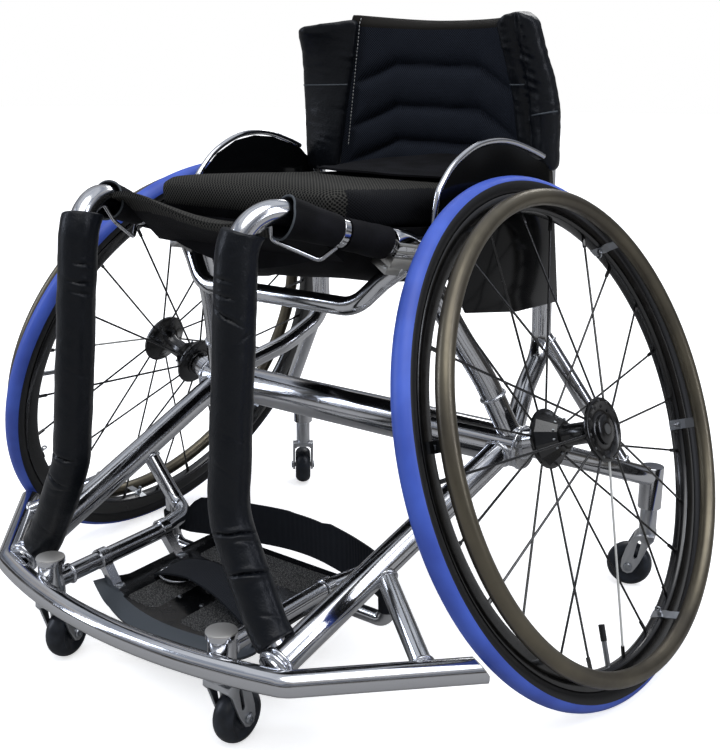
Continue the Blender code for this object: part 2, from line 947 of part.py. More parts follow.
def tyre_room(side):
    """A block that trims the bumper's end where it would reach the tyre."""
    end = Vector((side * BUMPER_END_X, -BUMPER_END_Y, BUMPER_Z))
    centre = on_wheel_axis(0, side)
    axis = (on_wheel_axis(1, side) - centre).normalized()
    reach = end - centre
    radial = (reach - axis * reach.dot(axis)).normalized()
    ring = centre + radial * TYRE_CENTRE
    away = (end - ring).normalized()
    turn = away.to_track_quat("Z", "Y").to_matrix().to_4x4()
    size = 0.06
    block = extruded(
        "trim", [(-size, -size), (size, -size), (size, size), (-size, size)], -size, 0
    )
    face = ring + away * (TYRE_SECTION + BUMPER_TYRE_GAP)
    return moved(block, Matrix.Translation(face) @ turn)


def bumper_mesh(name):
    barrels = [
        leaned(
            barrel_bar(
                "barrel_room",
                side,
                clear_of(FRONT_BARREL_RADIUS, 12),
                FRONT_BARREL_BOTTOM - 0.01,
                FRONT_BARREL_TOP - 0.001,
            )
        )
        for side in (1, -1)
    ]
    trims = [tyre_room(side) for side in (1, -1)]
    return combined(name, tube(name, BUMPER_PATH, BUMPER_RADIUS, 3), removed=barrels + trims)


def front_barrel_mesh(name, side):
    x = side * FRONT_CASTER_X
    body = moved(
        turned(
            name,
            [
                (0, FRONT_BARREL_BOTTOM),
                (FRONT_BARREL_RADIUS, FRONT_BARREL_BOTTOM),
                (FRONT_BARREL_RADIUS, FRONT_BARREL_TOP),
                (FRONT_CAP_RADIUS, FRONT_BARREL_TOP),
                (FRONT_CAP_RADIUS, FRONT_CAP_TOP - 0.002),
                (FRONT_CAP_RADIUS - 0.002, FRONT_CAP_TOP),
                (0, FRONT_CAP_TOP),
            ],
            12,
        ),
        Matrix.Translation((x, FRONT_CASTER_Y, 0)),
    )
    hole = barrel_bar(
        "stem_hole",
        side,
        bore(STEM_RADIUS, 12),
        FRONT_BARREL_BOTTOM - 0.02,
        FRONT_BARREL_TOP - 0.006,
    )
    return combined(name, body, removed=[hole])


def rear_arm_mesh(name, side):
    barrel = straight_bar(
        "barrel",
        (side * REAR_CASTER_X, REAR_CASTER_Y, REAR_BARREL_BOTTOM),
        (side * REAR_CASTER_X, REAR_CASTER_Y, REAR_BARREL_TOP),
        REAR_BARREL_RADIUS,
        12,
    )
    hole = straight_bar(
        "stem_hole",
        (side * REAR_CASTER_X, REAR_CASTER_Y, REAR_BARREL_BOTTOM - 0.02),
        (side * REAR_CASTER_X, REAR_CASTER_Y, REAR_BARREL_TOP - 0.006),
        bore(STEM_RADIUS, 12),
        12,
    )
    return combined(
        name,
        tube(name, sided(ARM_PATH, side), ARM_RADIUS),
        joined=[leaned(barrel)],
        removed=[leaned(hole), *near_beam(side)],
    )


def leg_bounds():
    """Where the pad starts and ends along the rail's path."""
    start = length_at_height(RAIL_PATH[8:], 0.548)
    skipped = path_length(RAIL_PATH[:9])
    return skipped + start, skipped + length_at_height(RAIL_PATH[8:], 0.150)


def rail_run(low_y, high_y):
    """The part of the rail between two Y positions, from the rear one forwards."""
    inside = [p for p in RAIL_PATH if low_y + 0.002 < p.y < high_y - 0.002]
    return [rail_at(high_y), *inside, rail_at(low_y)]


def collar_path(spare=0.0):
    reach = COLLAR_LENGTH / 2 + spare
    return [rail_at(COLLAR_Y + reach), rail_at(COLLAR_Y - reach)]


def rail_mesh(name, side):
    body = tube(name, sided(RAIL_PATH, side), RAIL_RADIUS)
    collar = tube("collar", sided(collar_path(), side), COLLAR_RADIUS)
    hook = tube(
        "hook",
        sided(HOOK_PATH, side),
        HOOK_RADIUS,
        1,
    )
    cuts = [
        room(CANE_PATH, CANE_RADIUS, side),
        room(SIDE_PATH, SIDE_RADIUS, side),
        room(BUMPER_PATH, BUMPER_RADIUS, 1, 3),
    ]
    return combined(name, body, joined=[collar, hook], removed=cuts)


def leg_pad_mesh(name, side):
    start, end = leg_bounds()
    path = portion(sided(RAIL_PATH, side), start, end)
    first = path[0] + (path[0] - path[1]).normalized() * 0.01
    last = path[-1] + (path[-1] - path[-2]).normalized() * 0.01
    hole = tube("leg_room", [first, *path, last], bore(RAIL_RADIUS, 8))
    cuts = [hole, room(SIDE_PATH, SIDE_RADIUS, side)]
    return combined(name, tube(name, path, PAD_RADIUS), removed=cuts)


def clamp_path(spare=0.0):
    """The short run of rail that the clamp on top of the seat post holds."""
    spot = rail_at(CLAMP_Y)
    along = (rail_at(CLAMP_Y - 0.01) - rail_at(CLAMP_Y + 0.01)).normalized()
    reach = along * (CLAMP_LENGTH / 2 + spare)
    return [spot - reach, spot + reach]


def post_mesh(name, side):
    clamp = tube("clamp", sided(clamp_path(), side), CLAMP_RADIUS)
    return combined(
        name,
        tube(name, sided(POST_PATH, side), POST_RADIUS),
        joined=[clamp],
        removed=[*near_beam(side), room(RAIL_PATH[:6], RAIL_RADIUS, side)],
    )


def cross_mesh(name):
    cuts = []
    for side in (1, -1):
        cuts.append(room(clamp_path(GAP), CLAMP_RADIUS, side))
        cuts.append(room(POST_PATH, POST_RADIUS, side))
    return combined(name, tube(name, CROSS_PATH, CROSS_RADIUS), removed=cuts)


def make_frame(materials, chair, level):
    chrome = materials["chrome"]
    part("camber_tube", beam_mesh("camber_tube"), chrome, chair)
    part("front_bumper", bumper_mesh("front_bumper"), chrome, chair)
    part("seat_cross_tube", cross_mesh("seat_cross_tube"), chrome, chair)
    part("calf_bar", calf_bar_mesh("calf_bar"), chrome, chair)
    for side_name, side in SIDES.items():
        bumper_room = room(BUMPER_PATH, BUMPER_RADIUS, 1, 3)
        side_tube = combined(
            "side_tube",
            tube("side_tube", sided(SIDE_PATH, side), SIDE_RADIUS),
            removed=[*near_beam(side), bumper_room],
        )
        part("side_tube_" + side_name, side_tube, chrome, chair)
        strut = combined(
            "bumper_strut",
            tube("bumper_strut", sided(STRUT_PATH, side), STRUT_RADIUS),
            removed=[
                room(BUMPER_PATH, BUMPER_RADIUS, 1, 3),
                room(SIDE_PATH, SIDE_RADIUS, side),
            ],
        )
        part("bumper_strut_" + side_name, strut, chrome, chair)
        part("seat_post_" + side_name, post_mesh("seat_post", side), chrome, chair)
        part("seat_rail_" + side_name, rail_mesh("seat_rail", side), chrome, chair)
        part("leg_pad_" + side_name, leg_pad_mesh("leg_pad", side), materials["pad"], chair)
        cane = combined(
            "back_cane",
            tube("back_cane", sided(CANE_PATH, side), CANE_RADIUS),
            removed=near_beam(side),
        )
        part("back_cane_" + side_name, cane, chrome, chair)
        brace = combined(
            "rear_brace",
            tube("rear_brace", sided(BRACE_PATH, side), BRACE_RADIUS),
            removed=[
                room(CANE_PATH, CANE_RADIUS, side),
                room(ARM_PATH, ARM_RADIUS, side),
            ],
        )
        part("rear_brace_" + side_name, brace, chrome, chair)
        part("rear_arm_" + side_name, rear_arm_mesh("rear_arm", side), chrome, chair)
        part(
            "front_barrel_" + side_name,
            front_barrel_mesh("front_barrel", side),
            chrome,
            level,
        )
        loop = combined(
            "foot_loop",
            tube("foot_loop", sided(LOOP_PATH, side), LOOP_RADIUS),
            removed=[
                leaned(
                    barrel_bar(
                        "barrel_room",
                        side,
                        clear_of(FRONT_BARREL_RADIUS, 12),
                        FRONT_BARREL_BOTTOM,
                        FRONT_BARREL_TOP,
                    )
                ),
                room(BUMPER_PATH, BUMPER_RADIUS, 1, 3),
                room(SIDE_PATH, SIDE_RADIUS, side),
            ],
        )
        part("foot_loop_" + side_name, loop, chrome, chair)


# Foot support
def calf_bar_mesh(name):
    cuts = [room(LOOP_PATH, LOOP_RADIUS, side) for side in (1, -1)]
    return combined(name, tube(name, CALF_PATH, CALF_RADIUS), removed=cuts)


def footplate_mesh(name):
    steps = 6
    rings = []
    for z, inset in ((PLATE_TOP - PLATE_THICKNESS, 0.008), (PLATE_TOP, 0)):
        ring = []
        half = PLATE_HALF - inset
        for i in range(steps + 1):
            x = -half + 2 * half * i / steps
            bow = 0.030 * (1 - (x / half) ** 2)
            ring.append((x, PLATE_FRONT + 0.030 - bow + inset, z))
        ring.append((half, PLATE_REAR - 0.02 - inset, z))
        ring.append((half - 0.02, PLATE_REAR - inset, z))
        ring.append((-half + 0.02, PLATE_REAR - inset, z))
        ring.append((-half, PLATE_REAR - 0.02 - inset, z))
        rings.append(ring)
    body = lofted(name, rings)
    joined = []
    removed = []
    for side in (1, -1):
        for y in (-0.322, -0.222):
            spot = loop_at(y)
            clamp = straight_bar(
                "clamp",
                (side * spot.x, y - FOOT_CLAMP / 2, spot.z),
                (side * spot.x, y + FOOT_CLAMP / 2, spot.z),
                LOOP_RADIUS + 0.0027,
                10,
            )
            inner = PLATE_HALF - 0.022
            foot = extruded(
                "clamp_foot",
                [
                    (side * inner, PLATE_TOP - 0.004),
                    (side * (PLATE_HALF - 0.005), PLATE_TOP - 0.004),
                    (side * (spot.x - 0.001), spot.z - LOOP_RADIUS - 0.001),
                    (side * (spot.x - 0.010), spot.z - 0.003),
                    (side * (inner + 0.013), PLATE_TOP + 0.004),
                    (side * inner, PLATE_TOP + 0.004),
                ],
                y - FOOT_CLAMP / 2,
                y + FOOT_CLAMP / 2,
            )
            # The outline stands up in the XZ plane and its depth runs along Y.
            turned_up = Matrix(((1, 0, 0, 0), (0, 0, 1, 0), (0, 1, 0, 0), (0, 0, 0, 1)))
            joined += [clamp, moved(foot, turned_up)]
        removed.append(room(LOOP_PATH, LOOP_RADIUS, side))
    return combined(name, body, joined=joined, removed=removed)


def loop_at(y):
    for a, b in zip(LOOP_PATH, LOOP_PATH[1:]):
        if a.y <= y < b.y:
            return a.lerp(b, (y - a.y) / (b.y - a.y))
    return LOOP_PATH[0]


def foot_strap_mesh(name):
    """A band across the plate that rises over the instep."""
    half = PLATE_HALF - 0.026

    def surface(lift):
        def place(u, v):
            x = half * (2 * u - 1)
            arch = 0.024 * (1 - (2 * u - 1) ** 2)
            return (x, -0.292 + 0.046 * v, PLATE_TOP + GAP + arch + lift)

        return place

    return layer(name, 10, 1, surface(0), surface(STRAP_THICKNESS))


def calf_strap_mesh(name):
    """A band that goes round both legs of the calf bar and sags back between them."""
    step = math.radians(42)
    wrap = (CALF_RADIUS + GAP) / math.cos(step / 2) + STRAP_THICKNESS / 2
    plan = []
    for i in range(6):
        turn = math.radians(-120) + step * i
        plan.append(
            Vector((CALF_X + wrap * math.cos(turn), CALF_Y + wrap * math.sin(turn)))
        )
    sag = [(0.140, -0.138), (0.085, -0.120), (0.036, -0.109)]
    half = [*plan, *(Vector(p) for p in sag)]
    line = half + [Vector((0, -0.106))] + [Vector((-p.x, p.y)) for p in reversed(half)]

    def surface(shift):
        def place(u, v):
            i = round(u * (len(line) - 1))
            before = line[max(i - 1, 0)]
            after = line[min(i + 1, len(line) - 1)]
            along = (after - before).normalized()
            normal = Vector((-along.y, along.x))
            here = line[i] + normal * shift
            narrow = max(0.0, (abs(here.x) - 0.120) / (CALF_X - 0.010 - 0.120))
            top = CALF_STRAP_TOP - 0.020 * min(1.0, narrow)
            low = CALF_STRAP_BOTTOM + 0.007 * min(1.0, narrow)
            return (here.x, here.y, low + (top - low) * v)

        return place

    half_thick = STRAP_THICKNESS / 2
    return layer(name, len(line) - 1, 1, surface(-half_thick), surface(half_thick))


# Seat, back and guards
def seat_half(y):
    """Half the room between the rails, less a small clearance."""
    return rail_at(y).x - RAIL_RADIUS - 0.0015


def cushion_top(x, y):
    along = (y - SEAT_FRONT_Y) / (SEAT_REAR_Y - SEAT_FRONT_Y)
    level = CUSHION_FRONT_TOP + (CUSHION_REAR_TOP - CUSHION_FRONT_TOP) * along
    across = min(1.0, abs(x) / seat_half(y))
    crown = CUSHION_CROWN * (1 - across**2)
    drop = 0.010 * max(0.0, (across - 0.86) / 0.14) ** 2
    ends = min(along, 1 - along)
    soften = 0.010 * max(0.0, (0.07 - ends) / 0.07) ** 2
    return level + crown - drop - soften


def cushion_bottom(y):
    along = (y - SEAT_FRONT_Y) / (SEAT_REAR_Y - SEAT_FRONT_Y)
    front = CUSHION_FRONT_TOP - CUSHION_THICKNESS + 0.006
    return front + (CUSHION_REAR_TOP - CUSHION_FRONT_TOP - 0.022) * along


def cushion_mesh(name):
    rows = 12
    across = 10
    rings = []
    for i in range(rows + 1):
        share = i / rows
        y = SEAT_FRONT_Y + (SEAT_REAR_Y - SEAT_FRONT_Y) * share
        tuck = 0.012 * (1 - min(1, 8 * min(share, 1 - share)))
        half = seat_half(y) - tuck
        low = cushion_bottom(y) + tuck * 0.5
        ring = []
        for j in range(across + 1):
            x = half * (1 - 2 * j / across) * 0.985
            ring.append((x, y, cushion_top(x, y)))
        middle = (cushion_top(half, y) + low) / 2
        ring.append((-half, y, middle + 0.008))
        ring.append((-half + 0.003, y, middle - 0.006))
        ring.append((-half + 0.006, y, low))
        ring.append((0, y, low))
        ring.append((half - 0.006, y, low))
        ring.append((half - 0.003, y, middle - 0.006))
        ring.append((half, y, middle + 0.008))
        rings.append(ring)
    return lofted(name, rings)


def cuff_mesh(side, low_y, high_y):
    """The sleeve's front end, which bags below the rail like a loose cuff."""
    rings = []
    for i in range(5):
        share = i / 4
        y = high_y + (low_y - high_y) * share
        along = (rail_at(y - 0.003) - rail_at(y + 0.003)).normalized()
        across = (Vector((1, 0, 0)) - along * along.x).normalized()
        up = across.cross(along)
        up *= math.copysign(1, up.z)
        ring = []
        for k in range(10):
            turn = 2 * math.pi * k / 10
            bag = CUFF_BAG * share * max(0.0, -math.sin(turn) + 0.3 * abs(math.cos(turn)))
            out = across * math.cos(turn) + up * math.sin(turn)
            ring.append(rail_at(y) + out * (SLEEVE_RADIUS + 0.001 * share + bag))
        rings.append([(side * p.x, p.y, p.z) for p in ring])
    return lofted("cuff", rings)


def sling_mesh(name):
    """The seat's fabric trough, slung between the rails, with sleeves round them in front."""
    rows = 8
    rings = []
    for i in range(rows + 1):
        y = SEAT_FRONT_Y + (SEAT_REAR_Y - SEAT_FRONT_Y) * i / rows
        half = seat_half(y)
        top = cushion_bottom(y) - GAP
        bottom = top - SLING_THICKNESS - 0.012 * math.sin(math.pi * min(1, 2 * i / rows))
        bottom -= SLING_REAR_DROP * max(0.0, (y + 0.100) / (SEAT_REAR_Y + 0.100))
        if -0.150 < y < -0.120:
            bottom = max(bottom, 0.4505)
        ring = [
            (half, y, top),
            (0, y, top),
            (-half, y, top),
            (-half, y, top - 0.020),
            (-half + 0.012, y, bottom + 0.006),
            (-half + 0.045, y, bottom),
            (half - 0.045, y, bottom),
            (half - 0.012, y, bottom + 0.006),
            (half, y, top - 0.020),
        ]
        rings.append(ring)
    apron = []
    for y, sag, thick in APRON:
        edge = rail_at(y)
        half = edge.x - RAIL_RADIUS - 0.001
        top = min(edge.z, edge.z - 0.004 + sag) + 0.004
        ring = []
        for share in (1, 0.5, 0, -0.5, -1):
            bow = -0.010 * (1 - share**2) if y < APRON[0][0] else 0.0
            ring.append((half * share, y + bow, top - sag * (1 - share**2)))
        for share in (-1, -0.5, 0, 0.5, 1):
            bow = -0.010 * (1 - share**2) if y < APRON[0][0] else 0.0
            ring.append((half * share, y + bow, top - thick - sag * (1 - share**2)))
        apron.append(ring)
    joined = [lofted("apron", apron)]
    removed = [room(CROSS_PATH, CROSS_RADIUS, 1)]
    for side in (1, -1):
        joined.append(cuff_mesh(side, *SLEEVES[0]))
        joined.append(tube("sleeve", sided(rail_run(*SLEEVES[1]), side), SLEEVE_RADIUS))
        removed += [
            room(RAIL_PATH, RAIL_RADIUS, side),
            room(collar_path(GAP), COLLAR_RADIUS, side),
            room(HOOK_PATH, HOOK_RADIUS, side, 1),
            room(clamp_path(GAP), CLAMP_RADIUS, side),
            room(POST_PATH, POST_RADIUS, side),
        ]
    return combined(name, lofted(name, rings), joined=joined, removed=removed)


def lap_strap_mesh(name):
    """A belt that lies across the rear of the cushion."""

    def surface(lift):
        def place(u, v):
            x = 0.150 * (1 - 2 * u)
            y = 0.030 + 0.050 * v + 0.030 * u
            return (x, y, cushion_top(x, y) + lift)

        return place

    return layer(
        name, 14, 2, surface(0.0009), surface(0.0009 + STRAP_THICKNESS)
    )


# Heights of the sewn channels across the middle of the pad, and how far they drop at its sides
BACK_CHANNELS = (0.691, 0.636, 0.589, 0.543)
CHANNEL_DROP = 0.021
CHANNEL_FLAT = 0.062
BACK_SAG = 0.038
BACK_DIP = 0.006


def back_half(z):
    """Half the width of the centre pad, which narrows towards the top."""
    return 0.137 - 0.145 * (z - 0.598)


def back_puff(x, z, half):
    """How far the quilted pad stands out between its channels."""
    slope = CHANNEL_DROP * max(0.0, (abs(x) - CHANNEL_FLAT) / (0.105 - CHANNEL_FLAT))
    nearest = min(abs(z + slope - channel) for channel in BACK_CHANNELS)
    return 0.008 * (1 - math.exp(-((nearest / 0.009) ** 2))) * (1 - (abs(x) / half) ** 6)


def back_mesh(name):
    """The centre pad, which hangs back between the canes and has sewn channels across it."""

    def place(u, v, front):
        z = BACK_BOTTOM + (BACK_TOP - BACK_BOTTOM) * v
        half = back_half(z) - 0.0001
        x = half * (2 * u - 1)
        edge = abs(2 * u - 1)
        y = BACK_FRONT_Y + BACK_SAG * (1 - edge**3)
        dip = BACK_DIP * v**6 * (1 - edge**2)
        if not front:
            return (x, y + BACK_THICKNESS, z - dip)
        top = 0.006 * max(0.0, (v - 0.94) / 0.06)
        return (x, y - back_puff(x, z, half) + top, z - dip)

    return layer(
        name, 12, 26, lambda u, v: place(u, v, False), lambda u, v: place(u, v, True)
    )


def cane_at(z):
    """The cane's centre line at a height, carried on past its top."""
    runs = list(zip(CANE_PATH, CANE_PATH[1:]))
    for a, b in runs:
        if a.z <= z < b.z and b.z > CANE_BEND - 0.1:
            return a.lerp(b, (z - a.z) / (b.z - a.z))
    a, b = runs[-1]
    return a.lerp(b, (z - a.z) / (b.z - a.z))


def wing_mesh(name, side):
    """A padded sleeve over the cane, with a flap that reaches to the centre pad."""
    rings = []
    levels = [
        (WING_BOTTOM, 0.93),
        (WING_BOTTOM + 0.010, 1.0),
        (0.610, 1.0),
        (0.645, 1.02),
        (0.672, 1.0),
        (0.700, 1.0),
        (0.728, 0.98),
        (WING_TOP - 0.010, 0.94),
        (WING_TOP, 0.70),
    ]
    for z, swell in levels:
        radius = WING_RADIUS * swell
        cane = cane_at(z)
        inner = back_half(min(z, BACK_TOP)) + 0.0002
        front = cane.y - radius
        ring = [
            (inner, BACK_FRONT_Y + 0.021 * swell),
            (inner, BACK_FRONT_Y),
            (inner + 0.007, min(BACK_FRONT_Y - 0.007, front + 0.010)),
            (inner + 0.016, min(BACK_FRONT_Y - 0.010, front + 0.006)),
            (cane.x - 0.028, min(BACK_FRONT_Y - 0.006, front + 0.008)),
            (cane.x - 0.021, min(BACK_FRONT_Y, front + 0.015)),
            (cane.x - 0.014, front + 0.003),
            (cane.x + 0.002, front - 0.001),
            (cane.x + 0.72 * radius, cane.y - 0.7 * radius),
            (cane.x + radius, cane.y),
            (cane.x + 0.72 * radius, cane.y + 0.72 * radius),
            (cane.x, cane.y + radius),
            (cane.x - 0.030, max(BACK_FRONT_Y + 0.019 * swell, cane.y + 0.9 * radius)),
        ]
        # The top edge falls away towards the outside of the wing.
        fall = WING_FALL * max(0.0, (z - 0.700) / (WING_TOP - 0.700))
        outer = cane.x + radius
        rings.append(
            [(side * x, y, z - fall * (x - inner) / (outer - inner)) for x, y in ring]
        )
    body = lofted(name, rings)
    low = [p for p in CANE_PATH if p.z > 0.5]
    path = [Vector((CANE_X, CANE_Y, 0.5)), *low]
    path.append(path[-1] + (path[-1] - path[-2]).normalized() * GAP)
    hole = tube("cane_room", sided(path, side), bore(CANE_RADIUS, 8))
    return combined(name, body, removed=[hole])


GUARD_EDGE = [
    (-0.090, 0.502),
    (-0.074, 0.554),
    (-0.062, 0.571),
    (-0.036, 0.591),
    (0.003, 0.606),
    (0.042, 0.6097),
    (0.080, 0.605),
    (0.122, 0.592),
    (0.145, 0.583),
]
GUARD_REAR_Y = 0.166
GUARD_LOW_REAR = 0.397
GUARD_LOW_FRONT = 0.420


def guard_x(y, z, offset):
    """The guard's plane, which leans in towards its top, an offset outboard of the rail."""
    front = rail_at(-0.090)
    rear = rail_at(0.150)
    rail_x = front.x + (rear.x - front.x) * (y + 0.090) / 0.240
    return rail_x + RAIL_RADIUS + GAP + 0.0013 + offset - GUARD_TILT * (z - 0.490)


def guard_panel_mesh(name, side):
    edge = []
    for i, (y, z) in enumerate(GUARD_EDGE):
        before = Vector(GUARD_EDGE[max(i - 1, 0)])
        after = Vector(GUARD_EDGE[min(i + 1, len(GUARD_EDGE) - 1)])
        along = (after - before).normalized()
        inward = Vector((along.y, -along.x)) * (GUARD_TUBE + 0.0004)
        edge.append((y + inward.x, z + inward.y))
    outline = [
        *edge,
        (GUARD_REAR_Y, 0.562),
        (GUARD_REAR_Y, GUARD_LOW_REAR),
        (0.071, GUARD_LOW_REAR + 0.005),
        (-0.030, GUARD_LOW_FRONT),
        (-0.048, 0.450),
    ]
    rings = []
    for offset in (0, PANEL_THICKNESS):
        rings.append([(side * guard_x(y, z, offset), y, z) for y, z in outline])
    cuts = [
        room(CANE_PATH, CANE_RADIUS, side),
        room(POST_PATH, POST_RADIUS, side),
        tube(
            "wing_room",
            sided([(CANE_X, CANE_Y, WING_BOTTOM - 0.002), (CANE_X, CANE_Y, 0.62)], side),
            WING_RADIUS * 1.10,
        ),
    ]
    return combined(name, lofted(name, rings), removed=cuts)


def guard_edge_mesh(name, side):
    path = [Vector((guard_x(y, z, GUARD_TUBE), y, z)) for y, z in GUARD_EDGE]
    return tube(name, sided(path, side), GUARD_TUBE, 1)


def make_seat(materials, chair):
    part("seat_sling", sling_mesh("seat_sling"), materials["fabric"], chair)
    part("seat_cushion", cushion_mesh("seat_cushion"), materials["fabric"], chair)
    part("lap_strap", lap_strap_mesh("lap_strap"), materials["fabric"], chair)
    part("back_pad", back_mesh("back_pad"), materials["pad"], chair)
    part("footplate", footplate_mesh("footplate"), materials["grey"], chair)
    part("foot_strap", foot_strap_mesh("foot_strap"), materials["fabric"], chair)
    part("calf_strap", calf_strap_mesh("calf_strap"), materials["fabric"], chair)
    for side_name, side in SIDES.items():
        part("back_wing_" + side_name, wing_mesh("back_wing", side), materials["pad"], chair)
        part(
            "guard_panel_" + side_name,
            guard_panel_mesh("guard_panel", side),
            materials["gloss"],
            chair,
        )
        part(
            "guard_edge_" + side_name,
            guard_edge_mesh("guard_edge", side),
            materials["chrome"],
            chair,
        )


def main():
    clear_scene()
    materials = {
        "chrome": new_material("polished_tube", (0.80, 0.81, 0.83), 0.08, 1.0),
        "alloy": new_material("satin_alloy", (0.62, 0.63, 0.65), 0.30, 1.0),
        "steel": new_material("steel", (0.55, 0.55, 0.56), 0.25, 1.0),
        "black": new_material("black_alloy", (0.015, 0.015, 0.017), 0.25, 0.3),
        "grey": new_material("grey_coat", (0.16, 0.155, 0.15), 0.38, 0.6),
        "tyre": new_material("blue_tyre", (0.055, 0.075, 0.42), 0.45, 0.0),
        "caster": new_material("caster_tyre", (0.02, 0.025, 0.035), 0.45, 0.0),
        "pad": new_material("black_vinyl", (0.012, 0.012, 0.013), 0.45, 0.0),
        "fabric": new_material("black_cloth", (0.010, 0.010, 0.011), 0.80, 0.0),
        "gloss": new_material("black_panel", (0.010, 0.010, 0.012), 0.08, 0.0),
    }
    level = add_empty("level", Matrix.Translation((0, AXLE_Y, 0)))
    chair = add_empty("chair", SETTLE, level)
    for side_name in SIDES:
        make_wheel(side_name, materials, chair)
        for end in CASTER_PLACES:
            make_caster(end, side_name, materials, level)
    make_frame(materials, chair, level)
    make_seat(materials, chair)
    bpy.context.view_layer.update()


main()
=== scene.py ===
# The looks of a rigid court wheelchair for basketball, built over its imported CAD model.
# Metres, +Z up, floor at Z = 0. The chair faces -Y and its sitter's left is +X.
# Most places are written in the welded frame's own axes, measured from the main axle line, and are
# then carried onto the floor, where the frame stands 3.2 degrees nose down on its casters.
import math

import bmesh
import bpy
from mathutils import Matrix, Vector, noise
from mathutils.bvhtree import BVHTree


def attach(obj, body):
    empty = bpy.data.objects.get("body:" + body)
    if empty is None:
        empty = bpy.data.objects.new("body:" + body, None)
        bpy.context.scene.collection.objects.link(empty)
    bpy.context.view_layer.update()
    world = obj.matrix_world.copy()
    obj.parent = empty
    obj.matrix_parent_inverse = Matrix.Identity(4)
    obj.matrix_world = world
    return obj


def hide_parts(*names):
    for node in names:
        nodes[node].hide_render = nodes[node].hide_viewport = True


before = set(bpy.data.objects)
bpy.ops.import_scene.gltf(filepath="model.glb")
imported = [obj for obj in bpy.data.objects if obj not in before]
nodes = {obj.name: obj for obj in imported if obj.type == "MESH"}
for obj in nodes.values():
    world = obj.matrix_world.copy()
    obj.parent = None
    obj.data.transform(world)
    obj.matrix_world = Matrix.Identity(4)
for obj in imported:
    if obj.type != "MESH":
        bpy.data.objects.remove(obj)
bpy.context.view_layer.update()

# The camera stands to the chair's left front at the photograph's place, with its lens.
camera_data = bpy.data.cameras.new("camera")
camera_data.sensor_fit = "VERTICAL"
camera_data.sensor_height = 36.0
camera_data.lens = 51.331
camera_data.clip_end = 100.0
camera = bpy.data.objects.new("camera", camera_data)
camera.matrix_world = Matrix(
    (
        (0.784529, -0.161192, 0.598776, 0.856358), (0.620025, 0.189646, -0.761317, -1.006220),
        (0.009162, 0.968531, 0.248726, 0.655246), (0.0, 0.0, 0.0, 1.0)
    )
)
bpy.context.scene.collection.objects.link(camera)
bpy.context.scene.camera = camera
bpy.context.scene.view_settings.view_transform = "Standard"


# The studio is a white floor under soft, even light, in a room whose walls are dark and uneven. Polished
# tube shows the walls as grey and blue bands along its length.
def linear(code, alpha=1.0):
    """An sRGB hex colour as the linear values that shaders take."""
    values = []
    for i in (1, 3, 5):
        share = int(code[i : i + 2], 16) / 255
        values.append(share / 12.92 if share <= 0.04045 else ((share + 0.055) / 1.055) ** 2.4)
    return (*values, alpha)


def add_node(tree, kind, settings=None, into=None, **wires):
    """Adds a node with its settings and links.

    A wire's name is an input's name, or its number after an underscore. The setting "stops" holds
    a colour ramp's places and colours, and into is the socket that the node's result goes to.
    """
    made = tree.nodes.new(kind)
    for name, value in (settings or {}).items():
        if name != "stops":
            setattr(made, name, value)
            continue
        while len(made.color_ramp.elements) < len(value):
            made.color_ramp.elements.new(0.5)
        for element, (place, code) in zip(made.color_ramp.elements, value):
            element.position = place
            element.color = linear(code)
    for name, value in wires.items():
        socket = made.inputs[int(name[1:])] if name[0] == "_" else made.inputs[name.replace("_", " ")]
        if isinstance(value, bpy.types.NodeSocket):
            tree.links.new(value, socket)
        elif isinstance(value, bpy.types.Node):
            tree.links.new(next(out for out in value.outputs if out.enabled), socket)
        else:
            socket.default_value = value
    if into is not None:
        tree.links.new(next(out for out in made.outputs if out.enabled), into)
    return made


world = bpy.data.worlds.new("studio air")
bpy.context.scene.world = world
world.use_nodes = True
air = world.node_tree
air.nodes.clear()
direction = add_node(air, "ShaderNodeTexCoord").outputs["Generated"]
height = add_node(air, "ShaderNodeSeparateXYZ", _0=direction)
clutter = add_node(air, "ShaderNodeTexNoise", Vector=direction, Scale=2.6, Detail=2.0, Roughness=0.45)
spread = add_node(air, "ShaderNodeMapRange", _0=clutter, _1=0.3, _2=0.7, _3=-0.1, _4=0.1)
uneven = add_node(air, "ShaderNodeMath", {"operation": "ADD"}, _0=height.outputs["Z"], _1=spread)
glow = add_node(
    air, "ShaderNodeValToRGB",
    {
        "stops": (
            (0.0, "#a3a4a6"), (0.05, "#5a5650"), (0.13, "#2a2a2d"), (0.20, "#4d4a47"),
            (0.26, "#9a9ea6"), (0.31, "#74767c"), (0.37, "#50525a"), (0.45, "#9aa2b0"),
            (0.52, "#aaa49f"), (0.60, "#c4c7cc"), (0.72, "#8f97a6"), (0.82, "#dfe2e8"), (1.0, "#c3c9d3")
        )
    },
    Fac=uneven
)
seen = add_node(air, "ShaderNodeLightPath")
pale = add_node(
    air, "ShaderNodeMix", {"data_type": "RGBA"}, _0=seen.outputs["Is Camera Ray"], _6=glow,
    _7=linear("#ffffff")
)
background = add_node(air, "ShaderNodeBackground", Color=pale, Strength=1.0)
add_node(air, "ShaderNodeOutputWorld", Surface=background)


def softbox(name, place, target, width, tall, power, code):
    """A rectangular studio lamp that faces a target."""
    lamp = bpy.data.lights.new(name, "AREA")
    lamp.shape = "RECTANGLE"
    lamp.size = width
    lamp.size_y = tall
    lamp.energy = power
    lamp.color = linear(code)[:3]
    holder = bpy.data.objects.new(name, lamp)
    aim = Vector(target) - Vector(place)
    holder.matrix_world = Matrix.Translation(place) @ aim.to_track_quat("-Z", "Y").to_matrix().to_4x4()
    bpy.context.scene.collection.objects.link(holder)
    return holder


